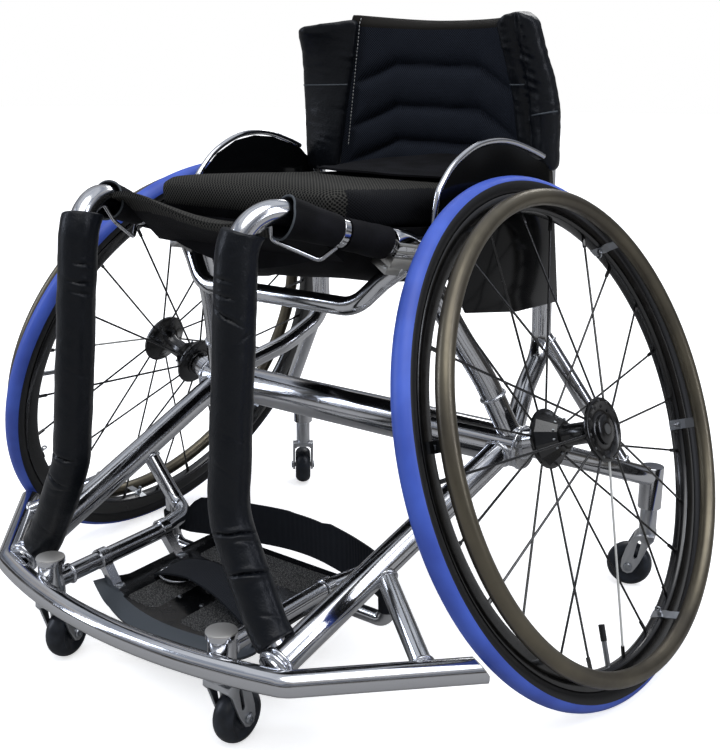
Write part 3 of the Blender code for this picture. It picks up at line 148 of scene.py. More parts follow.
softbox("left softbox", (-2.4, -2.2, 1.7), (0.0, 0.0, 0.4), 0.5, 2.2, 26.0, "#e4edff")
softbox("right softbox", (2.9, 0.4, 1.9), (0.1, 0.0, 0.4), 0.5, 2.2, 22.0, "#eef2ff")
softbox("rear softbox", (-0.8, 2.6, 2.2), (0.0, 0.0, 0.5), 1.8, 0.6, 14.0, "#ffffff")
ceiling = bpy.data.lights.new("ceiling light", "SUN")
ceiling.energy = 1.35
ceiling.angle = math.radians(50)
ceiling_holder = bpy.data.objects.new("ceiling light", ceiling)
ceiling_holder.matrix_world = Vector((0.35, -0.25, 1.0)).to_track_quat("Z", "Y").to_matrix().to_4x4()
bpy.context.scene.collection.objects.link(ceiling_holder)

floor_paint = bpy.data.materials.new("matt white studio floor paint")
floor_paint.use_nodes = True
floor_shader = floor_paint.node_tree.nodes["Principled BSDF"]
floor_shader.inputs["Base Color"].default_value = linear("#f6f6f6")
floor_shader.inputs["Roughness"].default_value = 0.9
floor_shader.inputs["Specular IOR Level"].default_value = 0.0
floor_shader.inputs["Emission Color"].default_value = linear("#ffffff")
floor_shader.inputs["Emission Strength"].default_value = 0.64
# The camera sees the floor white. The chair is lit and mirrored by the duller floor of a real room.
floor_tree = floor_paint.node_tree
bounce = add_node(floor_tree, "ShaderNodeBsdfDiffuse", Color=linear("#a9a8a6"))
floor_ray = add_node(floor_tree, "ShaderNodeLightPath")
floor_mix = add_node(
    floor_tree, "ShaderNodeMixShader", _0=floor_ray.outputs["Is Camera Ray"], _1=bounce, _2=floor_shader
)
floor_tree.links.new(floor_mix.outputs[0], floor_tree.nodes["Material Output"].inputs["Surface"])
floor_mesh = bpy.data.meshes.new("studio_floor")
floor_mesh.from_pydata([(-60, -60, 0), (60, -60, 0), (60, 60, 0), (-60, 60, 0)], [], [(0, 1, 2, 3)])
floor_mesh.materials.append(floor_paint)
floor = bpy.data.objects.new("studio_floor", floor_mesh)
bpy.context.scene.collection.objects.link(floor)

# The frame is 6000-series round tube, bent, coped and TIG welded, then polished to a mirror. Each
# tube is a circle swept along its bend line. The beam is 50 mm, the side tubes 33 mm, the seat
# rails 26 mm and the rest between 18 and 29 mm across.
AXLE_Y = 0.061784
WHEEL_Z = 0.286947
CAMBER = math.radians(20)
WHEEL_X = 0.3241
LEAN = (
    Matrix.Translation((0, 0, WHEEL_Z)) @ Matrix.Rotation(math.radians(3.2), 4, "X")
    @ Matrix.Translation((0, 0, -WHEEL_Z))
)
ON_FLOOR = Matrix.Translation((0, AXLE_Y, 0)) @ LEAN
UPRIGHT = Matrix.Translation((0, AXLE_Y, 0))
SIDES = {"left": 1, "right": -1}


def material(name, code, roughness, metallic=0.0, chart=None, **more):
    """A principled material, its tree, its shader and the places that the caller's pattern lies on.

    The places are the object's own coordinates, or those of a named map of the mesh.
    """
    made = bpy.data.materials.new(name)
    made.use_nodes = True
    tree = made.node_tree
    shader = tree.nodes["Principled BSDF"]
    shader.inputs["Base Color"].default_value = linear(code)
    shader.inputs["Roughness"].default_value = roughness
    shader.inputs["Metallic"].default_value = metallic
    for key, value in more.items():
        shader.inputs[key.replace("_", " ")].default_value = value
    if chart:
        spot = add_node(tree, "ShaderNodeUVMap", {"uv_map": chart}).outputs["UV"]
    else:
        spot = add_node(tree, "ShaderNodeTexCoord").outputs["Object"]
    return made, tree, shader, spot


def patterned(name, code, roughness, metallic, *patterns, **more):
    """A material whose patterns each drive its colour between stops, its roughness or its relief.

    A pattern is a kind of texture, its words, what it drives and how. A word in small letters is a
    setting of the texture, and one with a capital is an input.
    """
    made, tree, shader, spot = material(name, code, roughness, metallic, **more)
    for kind, words, driven, value in patterns:
        settings = {key: words[key] for key in words if key.islower()}
        wires = {key: words[key] for key in words if not key.islower()}
        drawn = add_node(tree, "ShaderNodeTex" + kind, settings, Vector=spot, **wires)
        socket = shader.inputs[driven]
        if driven == "Base Color":
            add_node(tree, "ShaderNodeValToRGB", {"stops": value}, into=socket, Fac=drawn)
        elif driven == "Roughness":
            ranges = {"_%d" % i: end for i, end in enumerate(value, 1)}
            add_node(tree, "ShaderNodeMapRange", into=socket, _0=drawn, **ranges)
        else:
            add_node(tree, "ShaderNodeBump", into=socket, Distance=value, Height=drawn)
    return made


# Polished aluminium shows faint buffing swirls and slightly duller patches where hands have been.
polished = patterned(
    "polished aluminium tube", "#d2d3d6", 0.12, 1.0,
    ("Noise", dict(Scale=22.0, Detail=4.0), "Roughness", (0.35, 0.75, 0.09, 0.2)),
    ("Noise", dict(Scale=160.0, Detail=2.0), "Normal", 0.00002)
)

# The caps' turned tops are left dull, so they show no picture of the room.
cap_face = material("turned aluminium cap top", "#cfcdc9", 0.55, 1.0)[0]

# Brushed blocks are finer than the turned caps and duller than the tubes.
satin = patterned(
    "brushed aluminium", "#b9b8b5", 0.3, 1.0,
    ("Wave", dict(bands_direction="X", Scale=500.0, Distortion=3.0), "Normal", 0.00003)
)

# A TIG bead is a row of overlapping puddles, brighter and duller than the polished tube beside it.
weld = patterned(
    "polished weld bead", "#d9dbe0", 0.22, 1.0,
    ("Noise", dict(Scale=420.0, Detail=3.0), "Normal", 0.00025)
)


def started_tree(name, **sockets):
    """A Geometry Nodes tree with its input sockets, each of a kind, and one output of geometry."""
    made = bpy.data.node_groups.new(name, "GeometryNodeTree")
    for label, kind in sockets.items():
        socket_type = "NodeSocket" + kind
        made.interface.new_socket(label.replace("_", " "), in_out="INPUT", socket_type=socket_type)
    made.interface.new_socket("Grown", in_out="OUTPUT", socket_type="NodeSocketGeometry")
    return made, add_node(made, "NodeGroupInput").outputs


def ended_tree(made, grown, finish):
    """The tree, ended with smooth faces, real geometry and one material."""
    smooth = add_node(made, "GeometryNodeSetShadeSmooth", Geometry=grown)
    real = add_node(made, "GeometryNodeRealizeInstances", Geometry=smooth)
    done = add_node(made, "GeometryNodeSetMaterial", Geometry=real, Material=finish)
    add_node(made, "NodeGroupOutput", Grown=done)
    return made


def tube_tree():
    """Geometry Nodes: sweeps a round tube of a given radius along the piece's own edges."""
    made, given = started_tree(
        "bent tube", Line="Geometry", Radius="Float", Sides="Int", Finish="Material"
    )
    line = add_node(made, "GeometryNodeMeshToCurve", Mesh=given["Line"])
    ring = add_node(
        made, "GeometryNodeCurvePrimitiveCircle", Resolution=given["Sides"], Radius=given["Radius"]
    )
    swept = add_node(made, "GeometryNodeCurveToMesh", Curve=line, Profile_Curve=ring, Fill_Caps=True)
    merged = add_node(made, "GeometryNodeMergeByDistance", Geometry=swept, Distance=0.00001)
    return ended_tree(made, merged, given["Finish"])


BENT_TUBE = tube_tree()


def shaped(holder):
    """A new mesh that holds what an object's modifiers make of it."""
    graph = bpy.context.evaluated_depsgraph_get()
    return bpy.data.meshes.new_from_object(holder.evaluated_get(graph))


def grow(tree, points, edges, **given):
    """Runs a Geometry Nodes tree on a bare mesh of points and edges, and returns the plain mesh."""
    seed = bpy.data.meshes.new("seed")
    seed.from_pydata([tuple(p) for p in points], edges, [])
    holder = bpy.data.objects.new("seed", seed)
    bpy.context.scene.collection.objects.link(holder)
    modifier = holder.modifiers.new("grow", "NODES")
    modifier.node_group = tree
    for item in tree.interface.items_tree:
        key = item.name.replace(" ", "_")
        if item.in_out == "INPUT" and key in given:
            modifier[item.identifier] = given[key]
    made = shaped(holder)
    bpy.data.objects.remove(holder, do_unlink=True)
    bpy.data.meshes.remove(seed)
    return made


def tube(path, radius, finish, sides=32, closed=False):
    """A smooth round tube along a path of points."""
    edges = [(i, i + 1) for i in range(len(path) - 1)]
    if closed:
        edges.append((len(path) - 1, 0))
    made = grow(BENT_TUBE, path, edges, Radius=radius, Sides=sides, Finish=finish)
    bm = bmesh.new()
    bm.from_mesh(made)
    bmesh.ops.recalc_face_normals(bm, faces=bm.faces)
    bm.to_mesh(made)
    bm.free()
    made.set_sharp_from_angle(angle=math.radians(40))
    return made


def bend(points, radii, step=4.0):
    """The straight runs through points, with each corner rounded to its bend radius."""
    points = [Vector(p) for p in points]
    if not isinstance(radii, (list, tuple)):
        radii = [radii] * (len(points) - 2)
    path = [points[0]]
    for before, corner, after, radius in zip(points, points[1:], points[2:], radii):
        back = (before - corner).normalized()
        ahead = (after - corner).normalized()
        turn = math.pi - back.angle(ahead)
        reach = radius * math.tan(turn / 2)
        longest = 0.49 * min((before - corner).length, (after - corner).length)
        if reach > longest:
            radius *= longest / reach
            reach = longest
        centre = corner + (back + ahead).normalized() * radius / math.cos(turn / 2)
        start = corner + back * reach - centre
        axis = back.cross(ahead).normalized()
        count = max(2, round(math.degrees(turn) / step))
        for i in range(count + 1):
            path.append(centre + Matrix.Rotation(-turn * i / count, 3, axis) @ start)
    path.append(points[-1])
    return path


def sided(path, side):
    """A path for the +X side, or mirrored to the -X side."""
    return [Vector((side * p[0], p[1], p[2])) for p in path]


def joined(meshes):
    """One mesh from several, with their materials kept."""
    finishes = []
    bm = bmesh.new()
    for mesh in meshes:
        start = len(bm.faces)
        bm.from_mesh(mesh)
        bm.faces.ensure_lookup_table()
        table = []
        for finish in mesh.materials:
            if finish not in finishes:
                finishes.append(finish)
            table.append(finishes.index(finish))
        for face in bm.faces[start:]:
            face.material_index = table[face.material_index] if table else 0
        bpy.data.meshes.remove(mesh)
    made = bpy.data.meshes.new("joined")
    bm.to_mesh(made)
    bm.free()
    for finish in finishes:
        made.materials.append(finish)
    return made


def piece(name, mesh, body, slot, *replaced, place=ON_FLOOR):
    """Puts a finished mesh in place on its body, in the stead of the CAD nodes it stands for."""
    mesh.transform(place)
    if place.determinant() < 0:
        mesh.flip_normals()
    made = bpy.data.objects.new(name, mesh)
    bpy.context.scene.collection.objects.link(made)
    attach(made, body)
    if replaced:
        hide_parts(*replaced)
    return made


def finished(bm, sharp, *finishes):
    """The mesh that a bmesh holds, facing out, with its materials.

    Its faces are smooth but for edges bent by more than sharp degrees, or all flat without it.
    """
    bmesh.ops.recalc_face_normals(bm, faces=bm.faces)
    made = bpy.data.meshes.new("shell")
    bm.to_mesh(made)
    bm.free()
    for finish in finishes:
        made.materials.append(finish)
    if sharp:
        made.shade_smooth()
        made.set_sharp_from_angle(angle=math.radians(sharp))
    return made


def both_ends(half):
    """A profile from the half of it below the middle. The half above is its mirror."""
    return half + [(radius, -height) for radius, height in reversed(half)]


def turned(profile, facets, finish, sharp=35.0):
    """Revolves an outline of (radius, height) points about Z. An outline off the axis is closed."""
    bm = bmesh.new()
    points = [bm.verts.new((radius, 0, height)) for radius, height in profile]
    loop = list(zip(points, points[1:]))
    if min(profile[0][0], profile[-1][0]) > 0.000001:
        loop.append((points[-1], points[0]))
    edges = [bm.edges.new(pair) for pair in loop]
    bmesh.ops.spin(
        bm, geom=points + edges, cent=(0, 0, 0), axis=(0, 0, 1), angle=2 * math.pi, steps=facets,
        use_merge=True, use_duplicate=False
    )
    bmesh.ops.remove_doubles(bm, verts=bm.verts, dist=0.000002)
    return finished(bm, sharp, finish)


def mirrored(mesh, side):
    """A mesh made for the +X side, as it is or mirrored to the -X side."""
    if side < 0:
        mesh.transform(Matrix.Scale(-1, 4, (1, 0, 0)))
        mesh.flip_normals()
    return mesh


def between(mesh, low, high):
    """Stands a mesh made along Z on the line from low towards high."""
    low = Vector(low)
    aim = (Vector(high) - low).to_track_quat("Z", "Y").to_matrix().to_4x4()
    mesh.transform(Matrix.Translation(low) @ aim)
    return mesh


def on_wheel_axis(distance, side=1):
    """A point on a wheel's axis, at a distance outboard of the wheel's centre."""
    return Vector(
        (side * (WHEEL_X + distance * math.cos(CAMBER)), 0, WHEEL_Z + distance * math.sin(CAMBER))
    )


JUNCTION = Vector((0.250, 0, 0.262))
SIDE_LINE = [Vector((0.242, 0, 0.259)), Vector((0.2068, -0.388, 0.1335))]
POST_LINE = bend(
    [JUNCTION, (0.224, -0.024, 0.342), (0.200, -0.0515, 0.4045), (0.174, -0.097, 0.500)], 0.25
)
CLAMP_TILT = math.radians(28)
RAIL_LINE = bend(
    [
        (0.190, 0.168, 0.474), (0.175, -0.112, 0.507), (0.156, -0.200, 0.534), (0.121, -0.310, 0.584),
        (0.127, -0.3565, 0.266), (0.184, -0.3655, 0.160), (0.2045, -0.3675, 0.1405)
    ],
    [0.3, 0.3, 0.062, 0.09, 0.06]
)
CANE_LINE = bend(
    [
        (0.245, 0, 0.262), (0.205, 0.101, 0.294), (0.190, 0.169, 0.326), (0.190, 0.170, 0.645),
        (0.1735, 0.149, 0.733)
    ],
    [0.15, 0.045, 0.20]
)
REAR_CASTER = Vector((0.3165, 0.2649, 0))
FRONT_CASTER = Vector((0.1414, -0.3814, 0))
ARM_LINE = [JUNCTION, LEAN.inverted() @ Vector((REAR_CASTER.x, REAR_CASTER.y, 0.1605))]
BRACE_LINE = [Vector((0.190, 0.170, 0.352)), ARM_LINE[0].lerp(ARM_LINE[1], 0.8)]
CROSS_LINE = bend(
    [
        (0.172, -0.112, 0.486), (0.150, -0.123, 0.468), (0.122, -0.137, 0.438), (-0.122, -0.137, 0.438),
        (-0.150, -0.123, 0.468), (-0.172, -0.112, 0.486)
    ],
    [0.03, 0.04, 0.04, 0.03]
)
LOOP_LINE = bend(
    [
        (0.1334, -0.3865, 0.130), (0.1355, -0.232, 0.130), (0.150, -0.172, 0.131),
        (0.176, -0.165, 0.143), SIDE_LINE[0].lerp(SIDE_LINE[1], 0.165 / 0.388)
    ],
    [0.08, 0.04, 0.05]
)
CALF_LINE = bend(
    [(0.182, -0.165, 0.150), (0.182, -0.165, 0.076), (-0.182, -0.165, 0.076), (-0.182, -0.165, 0.150)],
    0.016, 8
)
HOOK_LINE = bend(
    [(0.130, -0.274, 0.556), (0.1222, -0.266, 0.534), (0.1455, -0.2215, 0.508), (0.1562, -0.2065, 0.5205)],
    0.008,
    8,
)
BUMPER_Z = 0.129
BUMPER_END = Vector((0.372, -0.255, BUMPER_Z))


def bumper_line():
    """Straight wings that meet a shallow arc across the front."""
    half, ahead = 0.228, 0.427
    rise = ahead - 0.392
    bow = (half**2 + rise**2) / (2 * rise)
    spread = math.asin(half / bow)
    front = []
    for i in range(-12, 13):
        turn = spread * i / 12
        front.append(Vector((-bow * math.sin(turn), -ahead + bow * (1 - math.cos(turn)), BUMPER_Z)))
    return bend([BUMPER_END, *front, *sided([BUMPER_END], -1)], 0.05)


BUMPER_LINE = bumper_line()
STRUT_LINE = [Vector((0.328, -0.2965, BUMPER_Z)), SIDE_LINE[0].lerp(SIDE_LINE[1], 0.585)]
TYRE_RADIUS = 0.292


def point_at(line, y):
    """Where a line passes a Y position."""
    for a, b in zip(line, line[1:]):
        if min(a.y, b.y) <= y <= max(a.y, b.y) and a.y != b.y:
            return a.lerp(b, (y - a.y) / (b.y - a.y))
    return line[0]


def circle(centre, across, up, radius, steps):
    """Places round a circle, from its two directions."""
    turns = [2 * math.pi * i / steps for i in range(steps)]
    return [centre + (across * math.cos(turn) + up * math.sin(turn)) * radius for turn in turns]


def bead(at, along, radius, thickness=0.0022):
    """A weld bead as a low ring round a tube's end."""
    along = Vector(along).normalized()
    across = along.orthogonal().normalized()
    ring = circle(Vector(at), across, along.cross(across), radius, 28)
    return tube(ring, thickness, weld, 10, closed=True)


beam_parts = [tube([(-0.266, 0, 0.258), (0.266, 0, 0.258)], 0.025, polished, 48)]
for side in (1, -1):
    receiver = turned(
        [(0.0066, 0.0), (0.017, 0.0), (0.017, 0.0605), (0.0155, 0.0625), (0.0066, 0.0625)], 48, polished
    )
    beam_parts.append(between(receiver, on_wheel_axis(-0.100, side), on_wheel_axis(0, side)))
    outboard = on_wheel_axis(1, side) - on_wheel_axis(0, side)
    beam_parts.append(bead(on_wheel_axis(-0.068, side), outboard, 0.0178))
    beam_parts.append(bead((side * 0.262, 0, 0.258), (1, 0, 0), 0.0245, 0.0024))
piece("beam", joined(beam_parts), "frame", "polished_tube", "camber_tube")

# The bumper's ends are cut square to the tyres, and stop a little clear of them.
tyre_gap = 0.0165
bumper = tube(BUMPER_LINE, 0.0135, polished, 40)
bm = bmesh.new()
bm.from_mesh(bumper)
for side in (1, -1):
    end = sided([BUMPER_END], side)[0]
    centre = on_wheel_axis(0, side)
    axis = (on_wheel_axis(1, side) - centre).normalized()
    reach = end - centre
    radial = (reach - axis * reach.dot(axis)).normalized()
    ring = centre + radial * TYRE_RADIUS
    away = (end - ring).normalized()
    cut = bmesh.ops.bisect_plane(
        bm, geom=bm.verts[:] + bm.edges[:] + bm.faces[:], plane_co=ring + away * tyre_gap,
        plane_no=-away, clear_outer=True
    )
    rim_edges = [e for e in cut["geom_cut"] if isinstance(e, bmesh.types.BMEdge)]
    bmesh.ops.contextual_create(bm, geom=rim_edges)
bmesh.ops.recalc_face_normals(bm, faces=bm.faces)
bm.to_mesh(bumper)
bm.free()
bumper.set_sharp_from_angle(angle=math.radians(40))
piece("wing_bumper", bumper, "frame", "polished_tube", "front_bumper")

piece("seat_tube", tube(CROSS_LINE, 0.011, polished), "frame", "polished_tube", "seat_cross_tube")
piece("calf_tube", tube(CALF_LINE, 0.009, polished, 28), "frame", "polished_tube", "calf_bar")

for side_name, side in SIDES.items():
    side_tube = [tube(sided(SIDE_LINE, side), 0.0165, polished, 36)]
    low, high = sided(SIDE_LINE, side)
    for share, size, thick in ((0.055, 0.0168, 0.0022), (0.985, 0.0170, 0.0034), (0.968, 0.0166, 0.0022)):
        side_tube.append(bead(low.lerp(high, share), high - low, size, thick))
    piece("side_run_" + side_name, joined(side_tube), "frame", "polished_tube", "side_tube_" + side_name)
    low, high = sided(STRUT_LINE, side)
    strut = [tube([low, high], 0.0108, polished, 28)]
    for share in (0.085, 0.872):
        strut.append(bead(low.lerp(high, share), high - low, 0.0112, 0.0020))
    piece("strut_" + side_name, joined(strut), "frame", "polished_tube", "bumper_strut_" + side_name)
    # The post's top is a milled block, split round the rail and drawn up by its ridged cap.
    clamp_spot = point_at(RAIL_LINE, -0.122)
    clamp_way = (point_at(RAIL_LINE, -0.132) - point_at(RAIL_LINE, -0.112)).normalized()
    clamp = turned(both_ends([(0.0133, -0.015), (0.0172, -0.015), (0.0176, -0.0143)]), 40, polished)
    clamp = mirrored(between(clamp, clamp_spot, clamp_spot + clamp_way), side)
    block = bmesh.new()
    slabs = [(-0.0055, 0.0360, 0.0340, 0.0125), (-0.0165, 0.0290, 0.0300, 0.0120)]
    slabs += [
        (0.0060, 0.0270, 0.0280, 0.0240), (0.0085, 0.0360, 0.0340, 0.0030),
        (0.0165, 0.0340, 0.0340, 0.0030)
    ]
    for lift, wide, long, tall in slabs:
        bmesh.ops.create_cube(
            block, size=1.0,
            matrix=Matrix.Translation((0, 0, lift)) @ Matrix.Diagonal((wide, long, tall, 1))
        )
    bmesh.ops.bevel(block, geom=block.edges[:], offset=0.0009, segments=2, affect="EDGES", profile=0.5)
    block_mesh = finished(block, 40, satin)
    sideways = Vector((math.cos(CLAMP_TILT), 0, -math.sin(CLAMP_TILT)))
    sideways = (sideways - clamp_way * clamp_way.dot(sideways)).normalized()
    upward = sideways.cross(-clamp_way)
    turn = Matrix((sideways, -clamp_way, upward)).transposed().to_4x4()
    block_mesh.transform(Matrix.Translation(clamp_spot + Vector((-0.003, 0, -0.007))) @ turn)
    post_line = sided(POST_LINE, side)
    post = [tube(post_line, 0.014, polished, 36), clamp, mirrored(block_mesh, side)]
    post.append(bead(post_line[0].lerp(post_line[1], 0.9), post_line[1] - post_line[0], 0.0143, 0.0022))
    post = joined(post)
    piece("post_" + side_name, post, "frame", "polished_tube", "seat_post_" + side_name)
    collar_spot = point_at(RAIL_LINE, -0.200)
    collar_way = (point_at(RAIL_LINE, -0.205) - point_at(RAIL_LINE, -0.195)).normalized()
    collar = turned(both_ends([(0.013, -0.004), (0.0153, -0.004), (0.0158, -0.0034)]), 40, polished)
    collar = mirrored(between(collar, collar_spot, collar_spot + collar_way), side)
    rail = joined(
        [
            tube(sided(RAIL_LINE, side), 0.013, polished, 36), collar,
            tube(sided(HOOK_LINE, side), 0.0025, polished, 14)
        ]
    )
    piece("rail_" + side_name, rail, "frame", "polished_tube", "seat_rail_" + side_name)
    piece(
        "cane_" + side_name, tube(sided(CANE_LINE, side), 0.0127, polished, 32), "frame",
        "polished_tube", "back_cane_" + side_name
    )
    brace_line = sided(BRACE_LINE, side)
    way = brace_line[1] - brace_line[0]
    brace = [tube(brace_line, 0.0105, polished, 28)]
    for end, gap in zip(brace_line, (0.016, -0.016)):
        brace.append(bead(end + way.normalized() * gap, way, 0.0108, 0.0018))
    piece("brace_" + side_name, joined(brace), "frame", "polished_tube", "rear_brace_" + side_name)
    barrel = turned(
        [
            (0.0063, 0.117), (0.0152, 0.117), (0.0158, 0.1176), (0.0158, 0.1759), (0.0152, 0.1765),
            (0.0, 0.1765)
        ],
        40, polished
    )
    barrel.transform(LEAN.inverted() @ Matrix.Translation((side * REAR_CASTER.x, REAR_CASTER.y, 0)))
    arm_line = sided(ARM_LINE, side)
    arm = [tube(arm_line, 0.013, polished, 32), barrel]
    piece("arm_" + side_name, joined(arm), "frame", "polished_tube", "rear_arm_" + side_name)
    loop_line = sided(LOOP_LINE, side)
    loop = [tube(loop_line, 0.0104, polished, 32)]
    for start, after in ((0, 1), (-1, -2)):
        way = (loop_line[after] - loop_line[start]).normalized()
        loop.append(bead(loop_line[start] + way * 0.0165, way, 0.0106, 0.0020))
    piece("loop_" + side_name, joined(loop), "frame", "polished_tube", "foot_loop_" + side_name)
    cap = turned(
        [
            (0.0063, 0.0885), (0.0146, 0.0885), (0.015, 0.0889), (0.015, 0.1270), (0.0160, 0.1284),
            (0.0168, 0.1290), (0.0168, 0.1346), (0.0164, 0.1358), (0.0152, 0.1364), (0.0, 0.1364)
        ],
        48, polished
    )
    cap.materials.append(cap_face)
    for face in cap.polygons:
        if face.center.z > 0.1345:
            face.material_index = 1
    cap.transform(Matrix.Translation((side * FRONT_CASTER.x, FRONT_CASTER.y, 0)))
    piece(
        "head_" + side_name, cap, "frame", "polished_tube", "front_barrel_" + side_name, place=UPRIGHT
    )

# Each main wheel is a 25-inch court wheel: a blue high-pressure tyre with black sidewalls on a black
# anodised rim, a two-flange hub with straight-pull spokes, a quick-release axle and a coated
# aluminium grip ring that stands outboard on six folded steel tabs.

# The tread's blue is clouded where the mould and the floor have touched it, under a fine dull skin.
rubber = patterned(
    "blue natural rubber tyre", "#4058b4", 0.44, 0.0,
    ("Noise", dict(Scale=14.0, Detail=3.0), "Base Color", ((0.3, "#4059ba"), (0.7, "#5273e0"))),
    ("Noise", dict(Scale=600.0, Detail=2.0), "Normal", 0.00008), Specular_IOR_Level=0.4
)

# The sidewall's cloth shows through its thin black rubber as faint crossing threads, 1.5 mm apart.
sidewall = patterned(
    "black rubber sidewall", "#0c0c0e", 0.5, 0.0, ("Voronoi", dict(Scale=650.0), "Normal", 0.00006)
)

# Black anodising is a thin glassy skin, a little uneven where it has been handled.
anodised = patterned(
    "black anodised aluminium", "#0b0b0c", 0.2, 0.0,
    ("Noise", dict(Scale=60.0, Detail=4.0), "Roughness", (0.3, 0.8, 0.14, 0.3)), Specular_IOR_Level=0.75
)

# The grip ring's hard coating is satin, rubbed lighter in places by braking hands.
grip = patterned(
    "grey-bronze coated aluminium", "#413e34", 0.34, 0.75,
    ("Noise", dict(Scale=9.0, Detail=6.0), "Base Color", ((0.3, "#544f46"), (0.7, "#77705f"))),
    ("Noise", dict(Scale=90.0, Detail=6.0, Roughness=0.7), "Roughness", (0.3, 0.75, 0.28, 0.44))
)

# Stainless steel parts are tumbled, so they are bright but not mirrors.
steel = patterned(
    "satin stainless steel", "#a9acb0", 0.28, 1.0,
    ("Noise", dict(Scale=300.0, Detail=3.0), "Normal", 0.00003)
)

# One spoke in each wheel is bright, and marks the valve.
marker = patterned(
    "white enamelled spoke", "#d5d6d2", 0.35, 0.0,
    ("Noise", dict(Scale=200.0, Detail=3.0), "Roughness", (0.3, 0.7, 0.28, 0.45))
)


def spoke_tree():
    """Geometry Nodes: round spokes set out round a hub, each from a flange out to the rim."""
    made, given = started_tree(
        "wheel spokes", Hub="Geometry", Count="Int", First="Float", Step="Float", Turn_Way="Float",
        Flange_Radius="Float", Flange_Height="Float", End_Radius="Float", End_Height="Float",
        Thickness="Float", Sides="Int", Finish="Material"
    )
    points = add_node(made, "GeometryNodePoints", Count=given["Count"])
    index = add_node(made, "GeometryNodeInputIndex")
    turn = add_node(
        made, "ShaderNodeMath", {"operation": "MULTIPLY_ADD"}, _0=index, _1=given["Step"], _2=given["First"]
    )
    cosine = add_node(made, "ShaderNodeMath", {"operation": "COSINE"}, _0=turn)
    sine = add_node(made, "ShaderNodeMath", {"operation": "SINE"}, _0=turn)
    across = add_node(made, "ShaderNodeMath", {"operation": "MULTIPLY"}, _0=sine, _1=given["Turn Way"])
    outward = add_node(made, "ShaderNodeCombineXYZ", X=across, Y=cosine)
    flip = add_node(made, "ShaderNodeVectorMath", {"operation": "SCALE"}, _0=outward, Scale=-1.0)
    ends = []
    for radius, level in (("Flange Radius", "Flange Height"), ("End Radius", "End Height")):
        far = add_node(made, "ShaderNodeVectorMath", {"operation": "SCALE"}, _0=flip, Scale=given[radius])
        up = add_node(made, "ShaderNodeCombineXYZ", Z=given[level])
        ends.append(add_node(made, "ShaderNodeVectorMath", {"operation": "ADD"}, _0=far, _1=up))
    run = add_node(made, "ShaderNodeVectorMath", {"operation": "SUBTRACT"}, _0=ends[1], _1=ends[0])
    span = add_node(made, "ShaderNodeVectorMath", {"operation": "LENGTH"}, _0=run)
    middle = add_node(made, "ShaderNodeMix", {"data_type": "VECTOR"}, _0=0.5, _4=ends[0], _5=ends[1])
    put = add_node(made, "GeometryNodeSetPosition", Geometry=points, Position=middle)
    rod = add_node(
        made, "GeometryNodeMeshCylinder", Vertices=given["Sides"], Radius=given["Thickness"], Depth=1.0
    )
    aim = add_node(made, "FunctionNodeAlignRotationToVector", {"axis": "Z"}, Vector=run)
    size = add_node(made, "ShaderNodeCombineXYZ", X=1.0, Y=1.0, Z=span.outputs["Value"])
    set_out = add_node(
        made, "GeometryNodeInstanceOnPoints", Points=put, Instance=rod, Rotation=aim, Scale=size
    )
    return ended_tree(made, set_out, given["Finish"])


WHEEL_SPOKES = spoke_tree()


# Twelve spokes run from each flange, so they stand 30 degrees apart.
SPOKE_STEP = 30


def spokes(side, count, first, inner, outer, thickness, finish, sides):
    """Spokes, or anything that stands like them, between two (radius, height) rings."""
    mesh = grow(
        WHEEL_SPOKES, [(0, 0, 0)], [], Count=count, First=math.radians(first),
        Step=math.radians(SPOKE_STEP), Turn_Way=float(side), Flange_Radius=inner[0],
        Flange_Height=inner[1], End_Radius=outer[0], End_Height=outer[1], Thickness=thickness,
        Sides=sides, Finish=finish
    )
    mesh.set_sharp_from_angle(angle=math.radians(50))
    return mesh


# How far round the tyre's section its blue tread reaches, in degrees from its crown
TREAD_EDGE = 68.0
TYRE_THICKNESS = 0.0125


def tyre_mesh():
    """A round high-pressure tyre. Its tread is blue, and its sidewalls are black near the rim."""
    sides = 32
    profile = []
    for i in range(sides):
        turn = 2 * math.pi * (i + 0.5) / sides
        profile.append((TYRE_RADIUS + TYRE_THICKNESS * math.cos(turn), TYRE_THICKNESS * math.sin(turn)))
    made = turned(profile, 192, rubber)
    made.materials.append(sidewall)
    for face in made.polygons:
        out = math.hypot(face.center.x, face.center.y) - TYRE_RADIUS
        if math.degrees(math.atan2(abs(face.center.z), out)) > TREAD_EDGE:
            face.material_index = 1
    return made


def ringed(rings, finish, sharp=50.0, looped=False):
    """A closed shell through rings of places, with flat ends or with its last ring led to its first."""
    bm = bmesh.new()
    rows = [[bm.verts.new(p) for p in ring] for ring in rings]
    for low, high in zip(rows, rows[1:] + rows[:1] if looped else rows[1:]):
        for corners in zip(low, low[1:] + low[:1], high[1:] + high[:1], high):
            bm.faces.new(corners)
    if not looped:
        bm.faces.new(rows[0])
        bm.faces.new(rows[-1])
    return finished(bm, sharp, finish)


